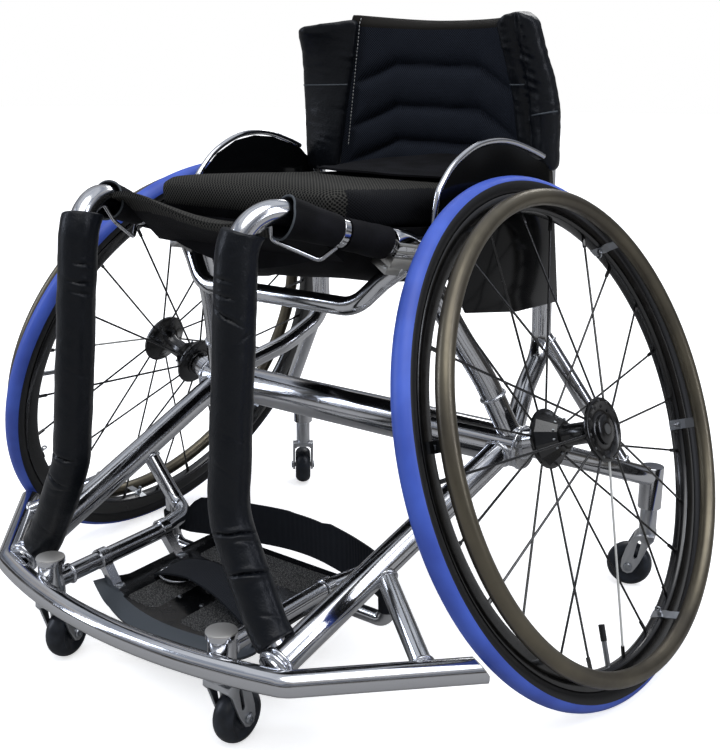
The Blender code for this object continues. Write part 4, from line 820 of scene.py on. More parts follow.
def tab_mesh(side, angle):
    """A folded steel tab from the rim to the grip ring, with its screw and cable eye."""
    outward = Vector((-side * math.sin(angle), -math.cos(angle), 0))
    tangent = outward.cross(Vector((0, 0, 1)))
    section = (
        (0.2606, -0.007), (0.2606, 0.010), (0.2622, 0.0145), (0.2638, 0.027), (0.2655, 0.0285),
        (0.2648, 0.0265), (0.2634, 0.0125), (0.2612, 0.0085)
    )
    rings = []
    for wide in (-0.0062, 0.0062):
        rings.append([outward * (r - 0.0003) + Vector((0, 0, h)) + tangent * wide for r, h in section])
    eye = circle(outward * 0.2525 + Vector((0, 0, 0.0045)), outward, Vector((0, 0, 1)), 0.0028, 14)
    screw = turned(
        [(0.0, -0.0006), (0.0034, -0.0006), (0.0034, 0.0040), (0.0026, 0.0052), (0.0, 0.0052)], 20,
        steel
    )
    screw = between(screw, outward * 0.2606 + Vector((0, 0, 0.0045)), Vector((0, 0, 0.0045)))
    return [ringed(rings, steel, sharp=None), tube(eye, 0.0011, steel, 10, closed=True), screw]


# Where the first outboard spoke, the first tab, the bright spoke's place in turn and the valve stand
WHEEL_TURNS = {"left": (6.3, 13.8, 9, 283.7), "right": (14.75, 37.25, 0, 7.25)}
for side_name, side in SIDES.items():
    body = "main_wheel_" + side_name
    first_spoke, first_tab, bright, valve_turn = WHEEL_TURNS[side_name]
    stand = (
        ON_FLOOR @ Matrix.Translation(on_wheel_axis(0, side))
        @ Matrix.Rotation(side * (math.pi / 2 - CAMBER), 4, "Y")
    )
    piece("court_tyre_" + side_name, tyre_mesh(), body, "tyre", "tyre_" + side_name, place=stand)
    wall = [(0.2796, 0.0050), (0.2820, 0.0084), (0.2822, 0.0094), (0.2812, 0.0101), (0.2740, 0.0098)]
    wall += [(0.2650, 0.0088), (0.2620, 0.0074), (0.2608, 0.0040)]
    far_wall = [(radius, -height) for radius, height in reversed(wall)]
    rim = turned([*far_wall[1:], (0.2792, 0.0), *wall, (0.2606, 0.0), far_wall[0]], 192, anodised, 50)
    piece("court_rim_" + side_name, rim, body, "black_alloy", "rim_" + side_name, place=stand)
    ring = circle(Vector((0, 0, 0.0331)), Vector((1, 0, 0)), Vector((0, 1, 0)), 0.2702, 160)
    grip_parts = [tube(ring, 0.0096, grip, 28, closed=True)]
    for i in range(6):
        grip_parts += tab_mesh(side, math.radians(first_tab + 60 * i))
    piece(
        "grip_ring_" + side_name, joined(grip_parts), body, "grey_coat", "handrim_" + side_name, place=stand
    )
    barrel = turned(
        [
            (0.0068, -0.0360), (0.0175, -0.0360), (0.0188, -0.0352), (0.0190, -0.0340),
            (0.0338, -0.0336), (0.0352, -0.0328), (0.0355, -0.0310), (0.0350, -0.0292),
            (0.0330, -0.0286), (0.0150, -0.0250), (0.0142, -0.0060), (0.0128, -0.0030),
            (0.0126, 0.0190), (0.0150, 0.0262), (0.0215, 0.0322), (0.0300, 0.0368), (0.0350, 0.0388),
            (0.0366, 0.0400), (0.0368, 0.0420), (0.0362, 0.0438), (0.0346, 0.0446), (0.0318, 0.0443),
            (0.0306, 0.0428), (0.0235, 0.0412), (0.0190, 0.0412), (0.0172, 0.0424), (0.0166, 0.0462),
            (0.0152, 0.0474), (0.0068, 0.0475)
        ],
        72, anodised, 40
    )
    bell = turned(
        [(0.0, -0.0290), (0.0330, -0.0290), (0.0185, -0.0070), (0.0160, -0.0056), (0.0, -0.0056)], 12,
        anodised, 8
    )
    near, far = ((0.031, 0.0415), (0.2604, 0.0015)), ((0.031, -0.031), (0.2604, -0.0015))
    second = first_spoke + SPOKE_STEP / 2
    after = first_spoke + SPOKE_STEP * (bright + 1)
    rods = (
        (bright, first_spoke, *near, 0.0014, anodised, 8),
        (1, first_spoke + SPOKE_STEP * bright, *near, 0.00135, marker, 8),
        (11 - bright, after, *near, 0.0014, anodised, 8),
        (12, second, *far, 0.0014, anodised, 8),
        # Nipples at the rim, heads and lightening holes on the outboard flange, and the bell's bolts
        (12, first_spoke, (0.2470, 0.0037), (0.2606, 0.0015), 0.0024, anodised, 6),
        (12, second, (0.2470, -0.0037), (0.2606, -0.0015), 0.0024, anodised, 6),
        (12, first_spoke, (0.0330, 0.0436), (0.0330, 0.0452), 0.0015, steel, 10),
        # Painted shade: dark matte discs of the sidewall rubber stand in the lightening holes for the shade
        # inside them.
        (12, second, (0.0270, 0.0410), (0.0270, 0.0423), 0.0022, sidewall, 12),
        (12, first_spoke, (0.0205, -0.0090), (0.0220, -0.0110), 0.0012, steel, 8),
        # The valve stands between two spokes, with a black dust cap on its bare stem.
        (1, valve_turn, (0.2260, 0.0), (0.2612, 0.0), 0.0029, steel, 16),
        (1, valve_turn, (0.2150, 0.0), (0.2330, 0.0), 0.0037, sidewall, 12),
    )
    hub_parts = [barrel, bell] + [spokes(side, *rod) for rod in rods if rod[0]]
    piece("court_hub_" + side_name, joined(hub_parts), body, "black_alloy", "hub_" + side_name, place=stand)
    axle = nodes["axle_" + side_name].data
    axle.materials.clear()
    axle.materials.append(steel)

# Each caster is a 62 mm skate-type wheel in a milled aluminium fork whose stem turns in a welded
# barrel. The fork keeps its CAD shape, with its edges eased, and a button-head bolt is its axle.

# The cutter leaves fine level lines, which blur what the forks mirror.
milled = patterned(
    "satin milled aluminium", "#c9cbce", 0.3, 1.0,
    ("Wave", dict(bands_direction="Z", Scale=420.0, Distortion=2.0), "Normal", 0.00003)
)

# The dark tyres are greyed in patches by dust from the floor.
skate = patterned(
    "dark polyurethane caster tyre", "#1c2129", 0.38, 0.0,
    ("Noise", dict(Scale=90.0, Detail=4.0), "Base Color", ((0.35, "#14181f"), (0.75, "#262c36")))
)


def eased(node, finish, width=0.0006, angle=35.0):
    """A copy of a CAD node with its points merged, its edges rounded and its faces smooth."""
    bm = bmesh.new()
    bm.from_mesh(nodes[node].data)
    bmesh.ops.remove_doubles(bm, verts=bm.verts, dist=0.00002)
    bmesh.ops.dissolve_limit(bm, angle_limit=math.radians(1.0), verts=bm.verts, edges=bm.edges)
    copy = bpy.data.meshes.new("eased")
    bm.to_mesh(copy)
    bm.free()
    holder = bpy.data.objects.new("eased", copy)
    bpy.context.scene.collection.objects.link(holder)
    if width:
        round_over = holder.modifiers.new("edges", "BEVEL")
        round_over.width = width
        round_over.segments = 2
        round_over.limit_method = "ANGLE"
        round_over.angle_limit = math.radians(angle)
    made = shaped(holder)
    bpy.data.objects.remove(holder, do_unlink=True)
    bpy.data.meshes.remove(copy)
    made.materials.clear()
    made.materials.append(finish)
    made.shade_smooth()
    made.set_sharp_from_angle(angle=math.radians(angle))
    return made


AS_BUILT = Matrix.Identity(4)
CASTER_HEADINGS = {
    ("front", "left"): 94.0, ("front", "right"): 106.0, ("rear", "left"): 197.0,
    ("rear", "right"): 132.5
}
for (end, side_name), heading in CASTER_HEADINGS.items():
    side = SIDES[side_name]
    place = FRONT_CASTER if end == "front" else REAR_CASTER
    swivel = (
        UPRIGHT @ Matrix.Translation((side * place.x, place.y, 0))
        @ Matrix.Rotation(math.radians(heading), 4, "Z")
    )
    roll = swivel @ Matrix.Translation((0.021, 0, 0.031)) @ Matrix.Rotation(math.pi / 2, 4, "X")
    label = f"{end}_{side_name}"
    body = f"{end}_caster_{side_name}"
    fork_node = f"{end}_caster_fork_{side_name}"
    piece("fork_" + label, eased(fork_node, milled), body, "satin_alloy", fork_node, place=AS_BUILT)
    tread = []
    for i in range(13):
        turn = math.radians(-78 + 13 * i)
        height = 0.0128 * math.sin(turn) / math.sin(math.radians(78))
        tread.append((0.0185 + 0.0125 * math.cos(turn) ** 0.8, height))
    wheel = turned(
        [
            (0.0046, -0.0112), (0.0088, -0.0112), (0.0092, -0.0100), (0.0135, -0.0095),
            (0.0150, -0.0106), *tread, (0.0150, 0.0106), (0.0135, 0.0095), (0.0092, 0.0100),
            (0.0088, 0.0112), (0.0046, 0.0112)
        ],
        64, skate
    )
    piece(
        "skate_wheel_" + label, wheel, f"{end}_roller_{side_name}", "caster_tyre",
        f"{end}_caster_wheel_{side_name}", place=roll
    )
    heads = []
    for way in (1, -1):
        head = turned(
            [
                (0.0, 0.0176), (0.0062, 0.0176), (0.0062, 0.0184), (0.0057, 0.0194), (0.0046, 0.0200),
                (0.0026, 0.0201), (0.0025, 0.0186), (0.0, 0.0186)
            ],
            32, steel
        )
        if way < 0:
            head.transform(Matrix.Rotation(math.pi, 4, "X"))
        heads.append(head)
    heads.append(turned([(0.0, -0.0177), (0.004, -0.0177), (0.004, 0.0177), (0.0, 0.0177)], 24, steel))
    piece(
        "axle_bolt_" + label, joined(heads), body, "steel", f"{end}_caster_bolt_{side_name}", place=roll
    )

# The footplate is a bent 4 mm sheet with a rolled front lip, painted grey outside and gloss black on
# top, with stuck-on grit patches. Four polished clamps bolt it to the foot loops.

# The plate's gloss paint is scuffed dull in patches where shoes stand.
gloss = patterned(
    "gloss black plate paint", "#0a0b0c", 0.16, 0.0,
    ("Noise", dict(Scale=55.0, Detail=5.0), "Roughness", (0.4, 0.7, 0.12, 0.32)),
    Specular_IOR_Level=0.45
)

# Powder coat keeps a fine orange-peel skin, so its sheen is broken.
coated = patterned(
    "grey powder-coated lip", "#444a50", 0.5, 0.0,
    ("Noise", dict(Scale=350.0, Detail=2.0), "Normal", 0.00008)
)

# Grit tape has grains half a millimetre across, drawn at 1.4 mm so that they sparkle as they do by eye. Their
# pale middles are painted glints, and the same pattern gives their relief.
grit, tree, shader, spot = material("black grit tape", "#1a1a1b", 0.75)
grains_and_glints = add_node(tree, "ShaderNodeTexVoronoi", Vector=spot, Scale=700.0)
# Painted glints: each grain is coloured pale towards its middle.
add_node(
    tree, "ShaderNodeValToRGB", {"stops": ((0.18, "#7c7c7a"), (0.5, "#161617"))},
    into=shader.inputs["Base Color"], Fac=grains_and_glints
)
add_node(tree, "ShaderNodeBump", into=shader.inputs["Normal"], Distance=0.0008, Height=grains_and_glints)

PLATE_TOP = 0.098
PLATE_HALF = 0.121
PLATE_REAR = -0.140
PLATE_CORNER = 0.02


def plate_front(x):
    """The front edge of the plate, bowed forward."""
    return -0.338 - 0.030 * (1 - (x / PLATE_HALF) ** 2)


def in_patch(x, y):
    """Whether a place on the plate is under one of the grit patches."""
    for x0, x1, y0, y1 in (
        (-0.084, -0.034, -0.332, -0.240), (0.012, 0.088, -0.336, -0.240),
        (-0.094, 0.100, -0.205, -0.152)
    ):
        inside = min(x - x0, x1 - x, y - y0, y1 - y)
        beside = min(x - x0, x1 - x) + min(y - y0, y1 - y)
        if inside > 0 and beside > 0.006:
            return True
    return False


def sheeted(grids, sharp, *finishes):
    """A closed sheet between two grids of places, joined round their rims. Its faces keep this order."""
    bm = bmesh.new()
    front, back = [[[bm.verts.new(p) for p in row] for row in grid] for grid in grids]
    for grid in (front, back):
        for low, high in zip(grid, grid[1:]):
            for corners in zip(low, low[1:], high[1:], high):
                bm.faces.new(corners)
    for j in range(len(front) - 1):
        bm.faces.new((front[j][0], front[j + 1][0], back[j + 1][0], back[j][0]))
        bm.faces.new((front[j][-1], back[j][-1], back[j + 1][-1], front[j + 1][-1]))
    for i in range(len(front[0]) - 1):
        bm.faces.new((front[0][i], back[0][i], back[0][i + 1], front[0][i + 1]))
        bm.faces.new((front[-1][i], front[-1][i + 1], back[-1][i + 1], back[-1][i]))
    return finished(bm, sharp, *finishes)


wide, deep = 110, 96
grids = []
for under in (0, 1):
    grid = []
    for j in range(deep + 1):
        row = []
        for i in range(wide + 1):
            x = PLATE_HALF * (2 * i / wide - 1)
            front = plate_front(x)
            past = max(0.0, abs(x) - PLATE_HALF + PLATE_CORNER)
            rear = PLATE_REAR - PLATE_CORNER + math.sqrt(max(0.0, PLATE_CORNER**2 - past**2))
            y = front + (rear - front) * j / deep
            ahead = y - front
            z = PLATE_TOP - 0.0075 * max(0.0, 1 - ahead / 0.026) ** 2
            side_up = max(0.0, (abs(x) - PLATE_HALF + 0.014) / 0.014)
            z += 0.0035 * side_up**2 * min(1.0, ahead / 0.03)
            curl = max(0.0, (abs(x) - PLATE_HALF + 0.022) / 0.022) * max(0.0, 1 - ahead / 0.045)
            z += 0.015 * curl**2
            x += math.copysign(0.015 * curl, x)
            if under:
                z -= 0.0042
                x *= 0.992
                y += 0.0012 * (1 - 2 * j / deep)
            row.append((x, y, z))
        grid.append(row)
    grids.append(grid)
plate = sheeted(grids, 40, gloss, coated, grit)
lip = 0.021
for face in plate.polygons:
    spot = face.center
    layer = face.index // (wide * deep)
    # Past the two layers come the side rims, and then the front and the rear rim by turns.
    past_sides = face.index - 2 * deep * (wide + 1)
    front_rim = past_sides >= 0 and past_sides % 2 == 0
    if layer == 1 or front_rim or (layer == 0 and spot.y < plate_front(spot.x) + lip):
        face.material_index = 1
    elif layer == 0 and in_patch(spot.x, spot.y):
        face.material_index = 2

BUTTON = [(0.0, 0.0), (0.0056, 0.0), (0.0056, 0.0008), (0.0050, 0.0021), (0.0036, 0.0028), (0.0018, 0.0029)]
BUTTON += [(0.0017, 0.0016), (0.0, 0.0016)]
plate_parts = [plate]
for side in (1, -1):
    for y in (-0.322, -0.222):
        spot = point_at(LOOP_LINE, y)
        ring = turned(both_ends([(0.0105, -0.0065), (0.0123, -0.0065), (0.0128, -0.006)]), 32, polished)
        ring.transform(Matrix.Translation((side * spot.x, y, spot.z)) @ Matrix.Rotation(math.pi / 2, 4, "X"))
        plate_parts.append(ring)
        web = bpy.data.meshes.new("web")
        inner = PLATE_HALF - 0.022
        outline = [
            (inner, PLATE_TOP + 0.0002), (inner, PLATE_TOP + 0.0042),
            (inner + 0.010, PLATE_TOP + 0.0046), (spot.x - 0.0125, spot.z - 0.006),
            (spot.x - 0.0105, spot.z - 0.0035), (spot.x - 0.0015, spot.z - 0.0100),
            (PLATE_HALF - 0.003, PLATE_TOP + 0.0002)
        ]
        points = [(side * x, y + d, z) for d in (-0.0062, 0.0062) for x, z in outline]
        n = len(outline)
        faces = [tuple(range(n)), tuple(range(2 * n - 1, n - 1, -1))]
        faces += [(k, n + k, n + (k + 1) % n, (k + 1) % n) for k in range(n)]
        web.from_pydata(points, [], faces)
        web.materials.append(polished)
        plate_parts.append(web)
        bolt = turned(BUTTON, 24, steel)
        bolt.transform(Matrix.Translation((side * (inner + 0.005), y, PLATE_TOP + 0.0042)))
        plate_parts.append(bolt)
for x, y in ((-0.031, -0.293), (-0.088, -0.170), (0.088, -0.170), (0.006, -0.293)):
    rivet = turned([(0.0, 0.0), (0.0030, 0.0), (0.0026, 0.0010), (0.0012, 0.0015), (0.0, 0.0016)], 18, steel)
    rivet.transform(Matrix.Translation((x, y, PLATE_TOP)))
    plate_parts.append(rivet)
# A wire ring at each side carries the foot strap.
for side in (1, -1):
    ring = []
    for k in range(25):
        turn = math.pi * k / 24
        ring.append((0.068 + 0.0235 * math.cos(turn), -0.262 - 0.0200 * math.sin(turn), 0.1035))
    ring += [(0.0445, -0.2600, 0.1035), (0.0915, -0.2600, 0.1035)]
    plate_parts.append(tube(sided(ring, side), 0.0019, polished, 10, closed=True))
piece("foot_board", joined(plate_parts), "frame", "grey_coat", "footplate")

# The side guards are thin gloss-black composite with a polished tube along the top edge.

# The lacquer is nearly a mirror, with the slow ripple of the sheet under it.
lacquer = patterned(
    "gloss black composite sheet", "#08090a", 0.13, 0.0,
    ("Noise", dict(Scale=9.0, Detail=2.0), "Normal", 0.0004), Specular_IOR_Level=0.2
)
GUARD_EDGE = [
    (-0.090, 0.502), (-0.074, 0.554), (-0.062, 0.571), (-0.036, 0.591), (0.003, 0.606), (0.042, 0.6097),
    (0.080, 0.605), (0.122, 0.592), (0.145, 0.583)
]


def guard_x(y, z, offset):
    """The guard's plane, which leans in towards its top, an offset outboard of the rail."""
    front = point_at(RAIL_LINE, -0.090)
    rear = point_at(RAIL_LINE, 0.150)
    rail_x = front.x + (rear.x - front.x) * (y + 0.090) / 0.240
    return rail_x + 0.013 + 0.0016 + offset - 0.073 * (z - 0.490)


def rounded(points, steps=6):
    """A smooth line through points, each kept."""
    points = [Vector(p) for p in points]
    line = []
    for i in range(len(points) - 1):
        before = points[max(i - 1, 0)]
        a, b = points[i], points[i + 1]
        after = points[min(i + 2, len(points) - 1)]
        for k in range(steps):
            t = k / steps
            line.append(
                0.5 * (
                    2 * a + (b - before) * t + (2 * before - 5 * a + 4 * b - after) * t**2
                    + (3 * a - before - 3 * b + after) * t**3
                )
            )
    line.append(points[-1])
    return line


for side_name, side in SIDES.items():
    panel = eased("guard_panel_" + side_name, lacquer, 0.0004)
    piece("guard_" + side_name, panel, "frame", "black_panel", "guard_panel_" + side_name, place=AS_BUILT)
    line = rounded([(guard_x(y, z, 0.0035), y, z) for y, z in GUARD_EDGE])
    edge = tube(sided(line, side), 0.0035, polished, 20)
    piece("guard_trim_" + side_name, edge, "frame", "polished_tube", "guard_edge_" + side_name)

# The leg pads are sleeves of black coated nylon over 8 mm foam, wrapped round the rails in front of
# the sitter's shins and closed with a flap down the outer side. They crease where the tube bends.

# The coating has fine pebbles and soft wrinkles, and is rubbed shinier in patches.
vinyl, tree, shader, spot = material("soft black coated nylon", "#101318", 0.36, Specular_IOR_Level=0.26)
pebbles = add_node(tree, "ShaderNodeTexVoronoi", Vector=spot, Scale=520.0)
wrinkles = add_node(tree, "ShaderNodeTexNoise", Vector=spot, Scale=60.0, Detail=6.0, Roughness=0.6)
relief = add_node(
    tree, "ShaderNodeMath", {"operation": "MULTIPLY_ADD"}, _0=wrinkles, _1=6.0, _2=pebbles.outputs["Distance"]
)
add_node(tree, "ShaderNodeBump", into=shader.inputs["Normal"], Distance=0.00014, Height=relief)
patches = add_node(tree, "ShaderNodeTexNoise", Vector=spot, Scale=35.0, Detail=3.0)
add_node(
    tree, "ShaderNodeMapRange", into=shader.inputs["Roughness"], _0=patches, _1=0.3, _2=0.7, _3=0.28, _4=0.44
)


def waves(place, seed, size):
    """A soft uneven height at a place, always the same for the same seed."""
    return noise.noise(Vector(place) / size + Vector((seed, 0.7 * seed, 1.3 * seed)))


def resampled(line, step):
    """Points an even step apart along a line."""
    line = [Vector(p) for p in line]
    total = sum((b - a).length for a, b in zip(line, line[1:]))
    count = max(2, round(total / step))
    found = []
    for i in range(count + 1):
        left = total * i / count
        for a, b in zip(line, line[1:]):
            length = (b - a).length
            if left <= length + 1e-9:
                found.append(a.lerp(b, left / length if length else 0))
                break
            left -= length
    return found


def leg_line():
    """The rail from the pad's top at 548 mm down to 150 mm."""
    top, foot = 0.548, 0.150
    run = []
    for a, b in zip(RAIL_LINE, RAIL_LINE[1:]):
        if a.y > -0.30:
            continue
        if run:
            run.append(a)
            if b.z < foot:
                run.append(a.lerp(b, (a.z - foot) / (a.z - b.z)))
                break
        elif a.z >= top > b.z:
            run.append(a.lerp(b, (a.z - top) / (a.z - b.z)))
    return run


def sleeve(line, radius, creases, finish, seed):
    """A padded sleeve round a line, cut flat at both ends, with a closing flap and sewn-in creases.

    A crease is where it lies along the sleeve, its middle and reach round it in degrees, its slant
    and its depth. Degrees count from the front towards the sitter's left.
    """
    sides = 72
    rows = []
    total = sum((b - a).length for a, b in zip(line, line[1:]))
    done = 0.0
    for i, spot in enumerate(line):
        along = (line[min(i + 1, len(line) - 1)] - line[max(i - 1, 0)]).normalized()
        if i:
            done += (spot - line[i - 1]).length
        share = done / total
        facing = Vector((0.72, -0.68, 0.0))
        facing = (facing - along * facing.dot(along)).normalized()
        across = Vector((0.78, 0.62, 0.0))
        across = (across - along * across.dot(along) - facing * across.dot(facing)).normalized()
        lip = 0.0014 * max(0.0, 1 - min(done, total - done) / 0.0025) ** 2
        trim = 0.0095 * max(0.0, 1 - done / 0.034)
        row = []
        for k in range(sides):
            turn = 360 * k / sides - 180
            if turn < 150:
                flap = 0.0011 / (1 + math.exp(-(turn - 52) / 1.6))
            else:
                flap = 0.0011 * (180 - turn) / 30
            out = facing * math.cos(math.radians(turn)) + across * math.sin(math.radians(turn))
            skin = spot + out * 0.02
            swell = 0.0010 * waves(skin, seed, 0.035) + 0.0004 * waves(skin, seed + 9, 0.012)
            fold = 0.0
            for at, middle, reach, slant, depth in creases:
                side_way = (turn - middle) / reach
                if abs(side_way) >= 1:
                    continue
                off = (share - at) * total + slant * (turn - middle) / 57.3 * radius
                off += 0.0012 * waves((turn / 30, at * 9, seed), 4.0, 1.0)
                fade = math.cos(side_way * math.pi / 2) ** 0.8
                fold += depth * fade * (0.30 * math.exp(-(((off - 0.0040) / 0.0030) ** 2)))
                fold += depth * fade * (0.25 * math.exp(-(((off + 0.0042) / 0.0032) ** 2)))
                fold -= depth * fade * math.exp(-((off / 0.0013) ** 2))
            cut = along * (trim * math.cos(math.radians(turn + 55)))
            row.append(spot + out * (radius - lip + flap + swell + fold) + cut)
        rows.append(row)
    return ringed(rows, finish, 60)


LEG_CREASES = {
    "left": (
        (0.112, -42, 40, -0.20, 0.0017), (0.150, -38, 42, -0.20, 0.0019),
        (0.196, -26, 54, -0.50, 0.0024), (0.245, 26, 30, 0.6, 0.0013), (0.480, 10, 40, -0.5, 0.0006),
        (0.560, -10, 44, -0.6, 0.0007), (0.722, 6, 82, -0.24, 0.0040), (0.748, 30, 42, -0.45, 0.0015),
        (0.822, 12, 84, -0.22, 0.0042), (0.930, 20, 36, -0.5, 0.0010)
    ),
    "right": (
        (0.130, 22, 38, -0.15, 0.0016), (0.178, 16, 46, -0.05, 0.0020), (0.206, 20, 40, -0.16, 0.0016),
        (0.420, 10, 38, -0.4, 0.0006), (0.655, -30, 58, -0.10, 0.0030), (0.722, -34, 50, -0.16, 0.0018),
        (0.745, -10, 36, 0.3, 0.0010), (0.900, 10, 34, -0.4, 0.0008)
    )
}
for side_name, side in SIDES.items():
    line = resampled(sided(leg_line(), side), 0.0014)
    pad = piece(
        "leg_sleeve_" + side_name, sleeve(line, 0.0211, LEG_CREASES[side_name], vinyl, 3.0 + side),
        "frame", "black_vinyl", "leg_pad_" + side_name
    )

# The seat is a canvas sling between the rails. In front its sleeves close round the rails like cuffs,
# with grey piping round their mouths, and a spacer-mesh band crosses from rail to rail.
SEAT_FRONT_Y = -0.186
SEAT_REAR_Y = 0.148

# The canvas is a dull plain weave, a little faded in patches.
canvas, tree, shader, spot = material("black polyester canvas", "#0d0d0f", 0.8, Specular_IOR_Level=0.15)
warp = add_node(tree, "ShaderNodeTexWave", {"bands_direction": "X"}, Vector=spot, Scale=260.0)
weft = add_node(tree, "ShaderNodeTexWave", {"bands_direction": "Y"}, Vector=spot, Scale=260.0)
weave = add_node(tree, "ShaderNodeMath", {"operation": "MULTIPLY"}, _0=warp, _1=weft)
add_node(tree, "ShaderNodeBump", into=shader.inputs["Normal"], Distance=0.00015, Height=weave)
shade = add_node(tree, "ShaderNodeTexNoise", Vector=spot, Scale=30.0, Detail=3.0)
add_node(
    tree, "ShaderNodeValToRGB", {"stops": ((0.35, "#0b0b0d"), (0.7, "#18181c"))},
    into=shader.inputs["Base Color"], Fac=shade
)

# The piping is a slanting braid of paler thread.
piping = patterned(
    "grey woven piping", "#4a5055", 0.6, 0.0,
    ("Wave", dict(bands_direction="DIAGONAL", Scale=420.0), "Normal", 0.0002)
)


def meshwork(name, wide, tall, hole_shade, strand):
    """A knitted mesh cloth, as rows of diamond holes of a width and height in metres. The holes are coloured
    near black as painted shade in the hollows of the knit.
    """
    made, tree, shader, spot = material(name, strand, 0.75, chart="cloth", Specular_IOR_Level=0.15)
    ahead = add_node(
        tree, "ShaderNodeVectorMath", {"operation": "DOT_PRODUCT"}, _0=spot, _1=(1 / wide, 1 / tall, 0.0)
    )
    across = add_node(
        tree, "ShaderNodeVectorMath", {"operation": "DOT_PRODUCT"}, _0=spot, _1=(1 / wide, -1 / tall, 0.0)
    )
    lattice = add_node(tree, "ShaderNodeCombineXYZ", X=ahead, Y=across)
    cells = add_node(
        tree, "ShaderNodeTexVoronoi", {"voronoi_dimensions": "2D"}, Vector=lattice, Scale=1.0,
        Randomness=0.0
    )
    # Painted shade: the holes get the near-black colour of the shade inside the knit.
    add_node(
        tree, "ShaderNodeValToRGB", {"stops": ((0.30, hole_shade), (0.48, strand))},
        into=shader.inputs["Base Color"], Fac=cells
    )
    add_node(tree, "ShaderNodeBump", into=shader.inputs["Normal"], Distance=0.0006, Height=cells)
    return made


# Spacer mesh has holes 3 mm apart, drawn at 4.4 mm so that the rows show as they do by eye.
spacer = meshwork("black spacer mesh", 0.0044, 0.0050, "#030303", "#454440")
fine_mesh = meshwork("fine black side mesh", 0.0032, 0.0036, "#030304", "#1a1b1f")


def charted(mesh):
    """Gives a mesh a map in metres, laid flat from the side that each face looks to."""
    chart = mesh.uv_layers.new(name="cloth")
    for face in mesh.polygons:
        x, y, z = (abs(n) for n in face.normal)
        for index in face.loop_indices:
            spot = mesh.vertices[mesh.loops[index].vertex_index].co
            if z >= x and z >= y:
                chart.data[index].uv = (spot.x, spot.y)
            elif x >= y:
                chart.data[index].uv = (spot.z, spot.y)
            else:
                chart.data[index].uv = (spot.x, spot.z)


def puffed(mesh, voxel, pressure, cap, finish, hold=None, frames=20):
    """A closed mesh blown up by a short cloth simulation, so that it swells between its seams.

    hold gives 1 for a place that is sewn down and 0 for a free one, and no place moves past cap.
    Without a voxel size the mesh is used as it is.
    """
    holder = bpy.data.objects.new("cloth", mesh)
    bpy.context.scene.collection.objects.link(holder)
    if voxel:
        remesh = holder.modifiers.new("remesh", "REMESH")
        remesh.mode = "VOXEL"
        remesh.voxel_size = voxel
        ease = holder.modifiers.new("ease", "SMOOTH")
        ease.iterations = 4
        holder.data = shaped(holder)
        holder.modifiers.clear()
    start = [v.co.copy() for v in holder.data.vertices]
    seams = holder.vertex_groups.new(name="seams")
    for i, spot in enumerate(start):
        if hold and hold(spot) > 0:
            seams.add([i], hold(spot), "REPLACE")
    cloth = holder.modifiers.new("cloth", "CLOTH")
    cloth.settings.quality = 5
    cloth.settings.use_pressure = True
    cloth.settings.uniform_pressure_force = pressure
    cloth.settings.effector_weights.gravity = 0
    cloth.settings.vertex_group_mass = "seams"
    cloth.point_cache.frame_start = 1
    cloth.point_cache.frame_end = frames
    for frame_number in range(1, frames + 1):
        bpy.context.scene.frame_set(frame_number)
    graph = bpy.context.evaluated_depsgraph_get()
    ends = [v.co.copy() for v in holder.evaluated_get(graph).data.vertices]
    bpy.context.scene.frame_set(1)
    holder.modifiers.clear()
    for vertex, a, b in zip(holder.data.vertices, start, ends):
        shift = b - a
        vertex.co = a + shift * min(1.0, cap / max(shift.length, 1e-9))
    settle = holder.modifiers.new("settle", "SMOOTH")
    settle.iterations = 2
    finer = holder.modifiers.new("finer", "SUBSURF")
    finer.levels = 1
    finer.render_levels = 1
    made = shaped(holder)
    bpy.data.objects.remove(holder, do_unlink=True)
    made.materials.clear()
    made.materials.append(finish)
    made.shade_smooth()
    return made


def seat_half(y):
    """Half the room between the rails, less a small clearance."""
    return point_at(RAIL_LINE, y).x - 0.0145


def cushion_top(x, y):
    """The top of the cushion, which is crowned, falls to the rear and has soft edges."""
    along = (y - SEAT_FRONT_Y) / (SEAT_REAR_Y - SEAT_FRONT_Y)
    across = min(1.0, abs(x) / seat_half(y))
    crown = 0.006 * (1 - across**2)
    drop = 0.010 * max(0.0, (across - 0.86) / 0.14) ** 2
    ends = min(along, 1 - along)
    return 0.576 - 0.031 * along + crown - drop - 0.010 * max(0.0, (0.07 - ends) / 0.07) ** 2


def cushion_bottom(y):
    """The underside of the cushion, on the sling."""
    along = (y - SEAT_FRONT_Y) / (SEAT_REAR_Y - SEAT_FRONT_Y)
    return 0.535 - 0.037 * along


cushion_rings = []
for i in range(49):
    share = i / 48
    y = SEAT_FRONT_Y + (SEAT_REAR_Y - SEAT_FRONT_Y) * share
    tuck = 0.012 * (1 - min(1, 8 * min(share, 1 - share)))
    half = seat_half(y) - tuck
    low = cushion_bottom(y) + tuck * 0.5
    ring = [Vector((half * (1 - 2 * j / 20) * 0.985, y, 0)) for j in range(21)]
    for p in ring:
        p.z = cushion_top(p.x, y)
    middle = (cushion_top(half, y) + low) / 2
    side_ring = [(-half, middle + 0.008), (-half + 0.003, middle - 0.006), (-half + 0.006, low)]
    ring += [Vector((x, y, z)) for x, z in side_ring]
    ring += [Vector((x * (half - 0.006), y, low)) for x in (-0.5, 0, 0.5)]
    ring += [Vector((-x, y, z)) for x, z in reversed(side_ring)]
    cushion_rings.append(ring)


# How far the cushion's side panels reach in from its edges
SIDE_PANEL = 0.016


def side_seam(z):
    """How far back the seam runs between the top cloth and the side panel at a height."""
    return -0.168 + 0.30 * max(0.0, z - 0.562)


def cushion_hold(spot):
    """The cushion lies on the sling, and is sewn down the seams of its side panels."""
    if spot.z < cushion_bottom(spot.y) + 0.010:
        return 1.0
    edge = seat_half(min(SEAT_REAR_Y, max(SEAT_FRONT_Y, spot.y))) - abs(spot.x)
    if spot.y > side_seam(spot.z) - 0.004 and abs(edge - SIDE_PANEL) < 0.0035 and spot.z > 0.55:
        return 1.0
    return 1.0 if edge < SIDE_PANEL and abs(spot.y - side_seam(spot.z)) < 0.0035 else 0.0


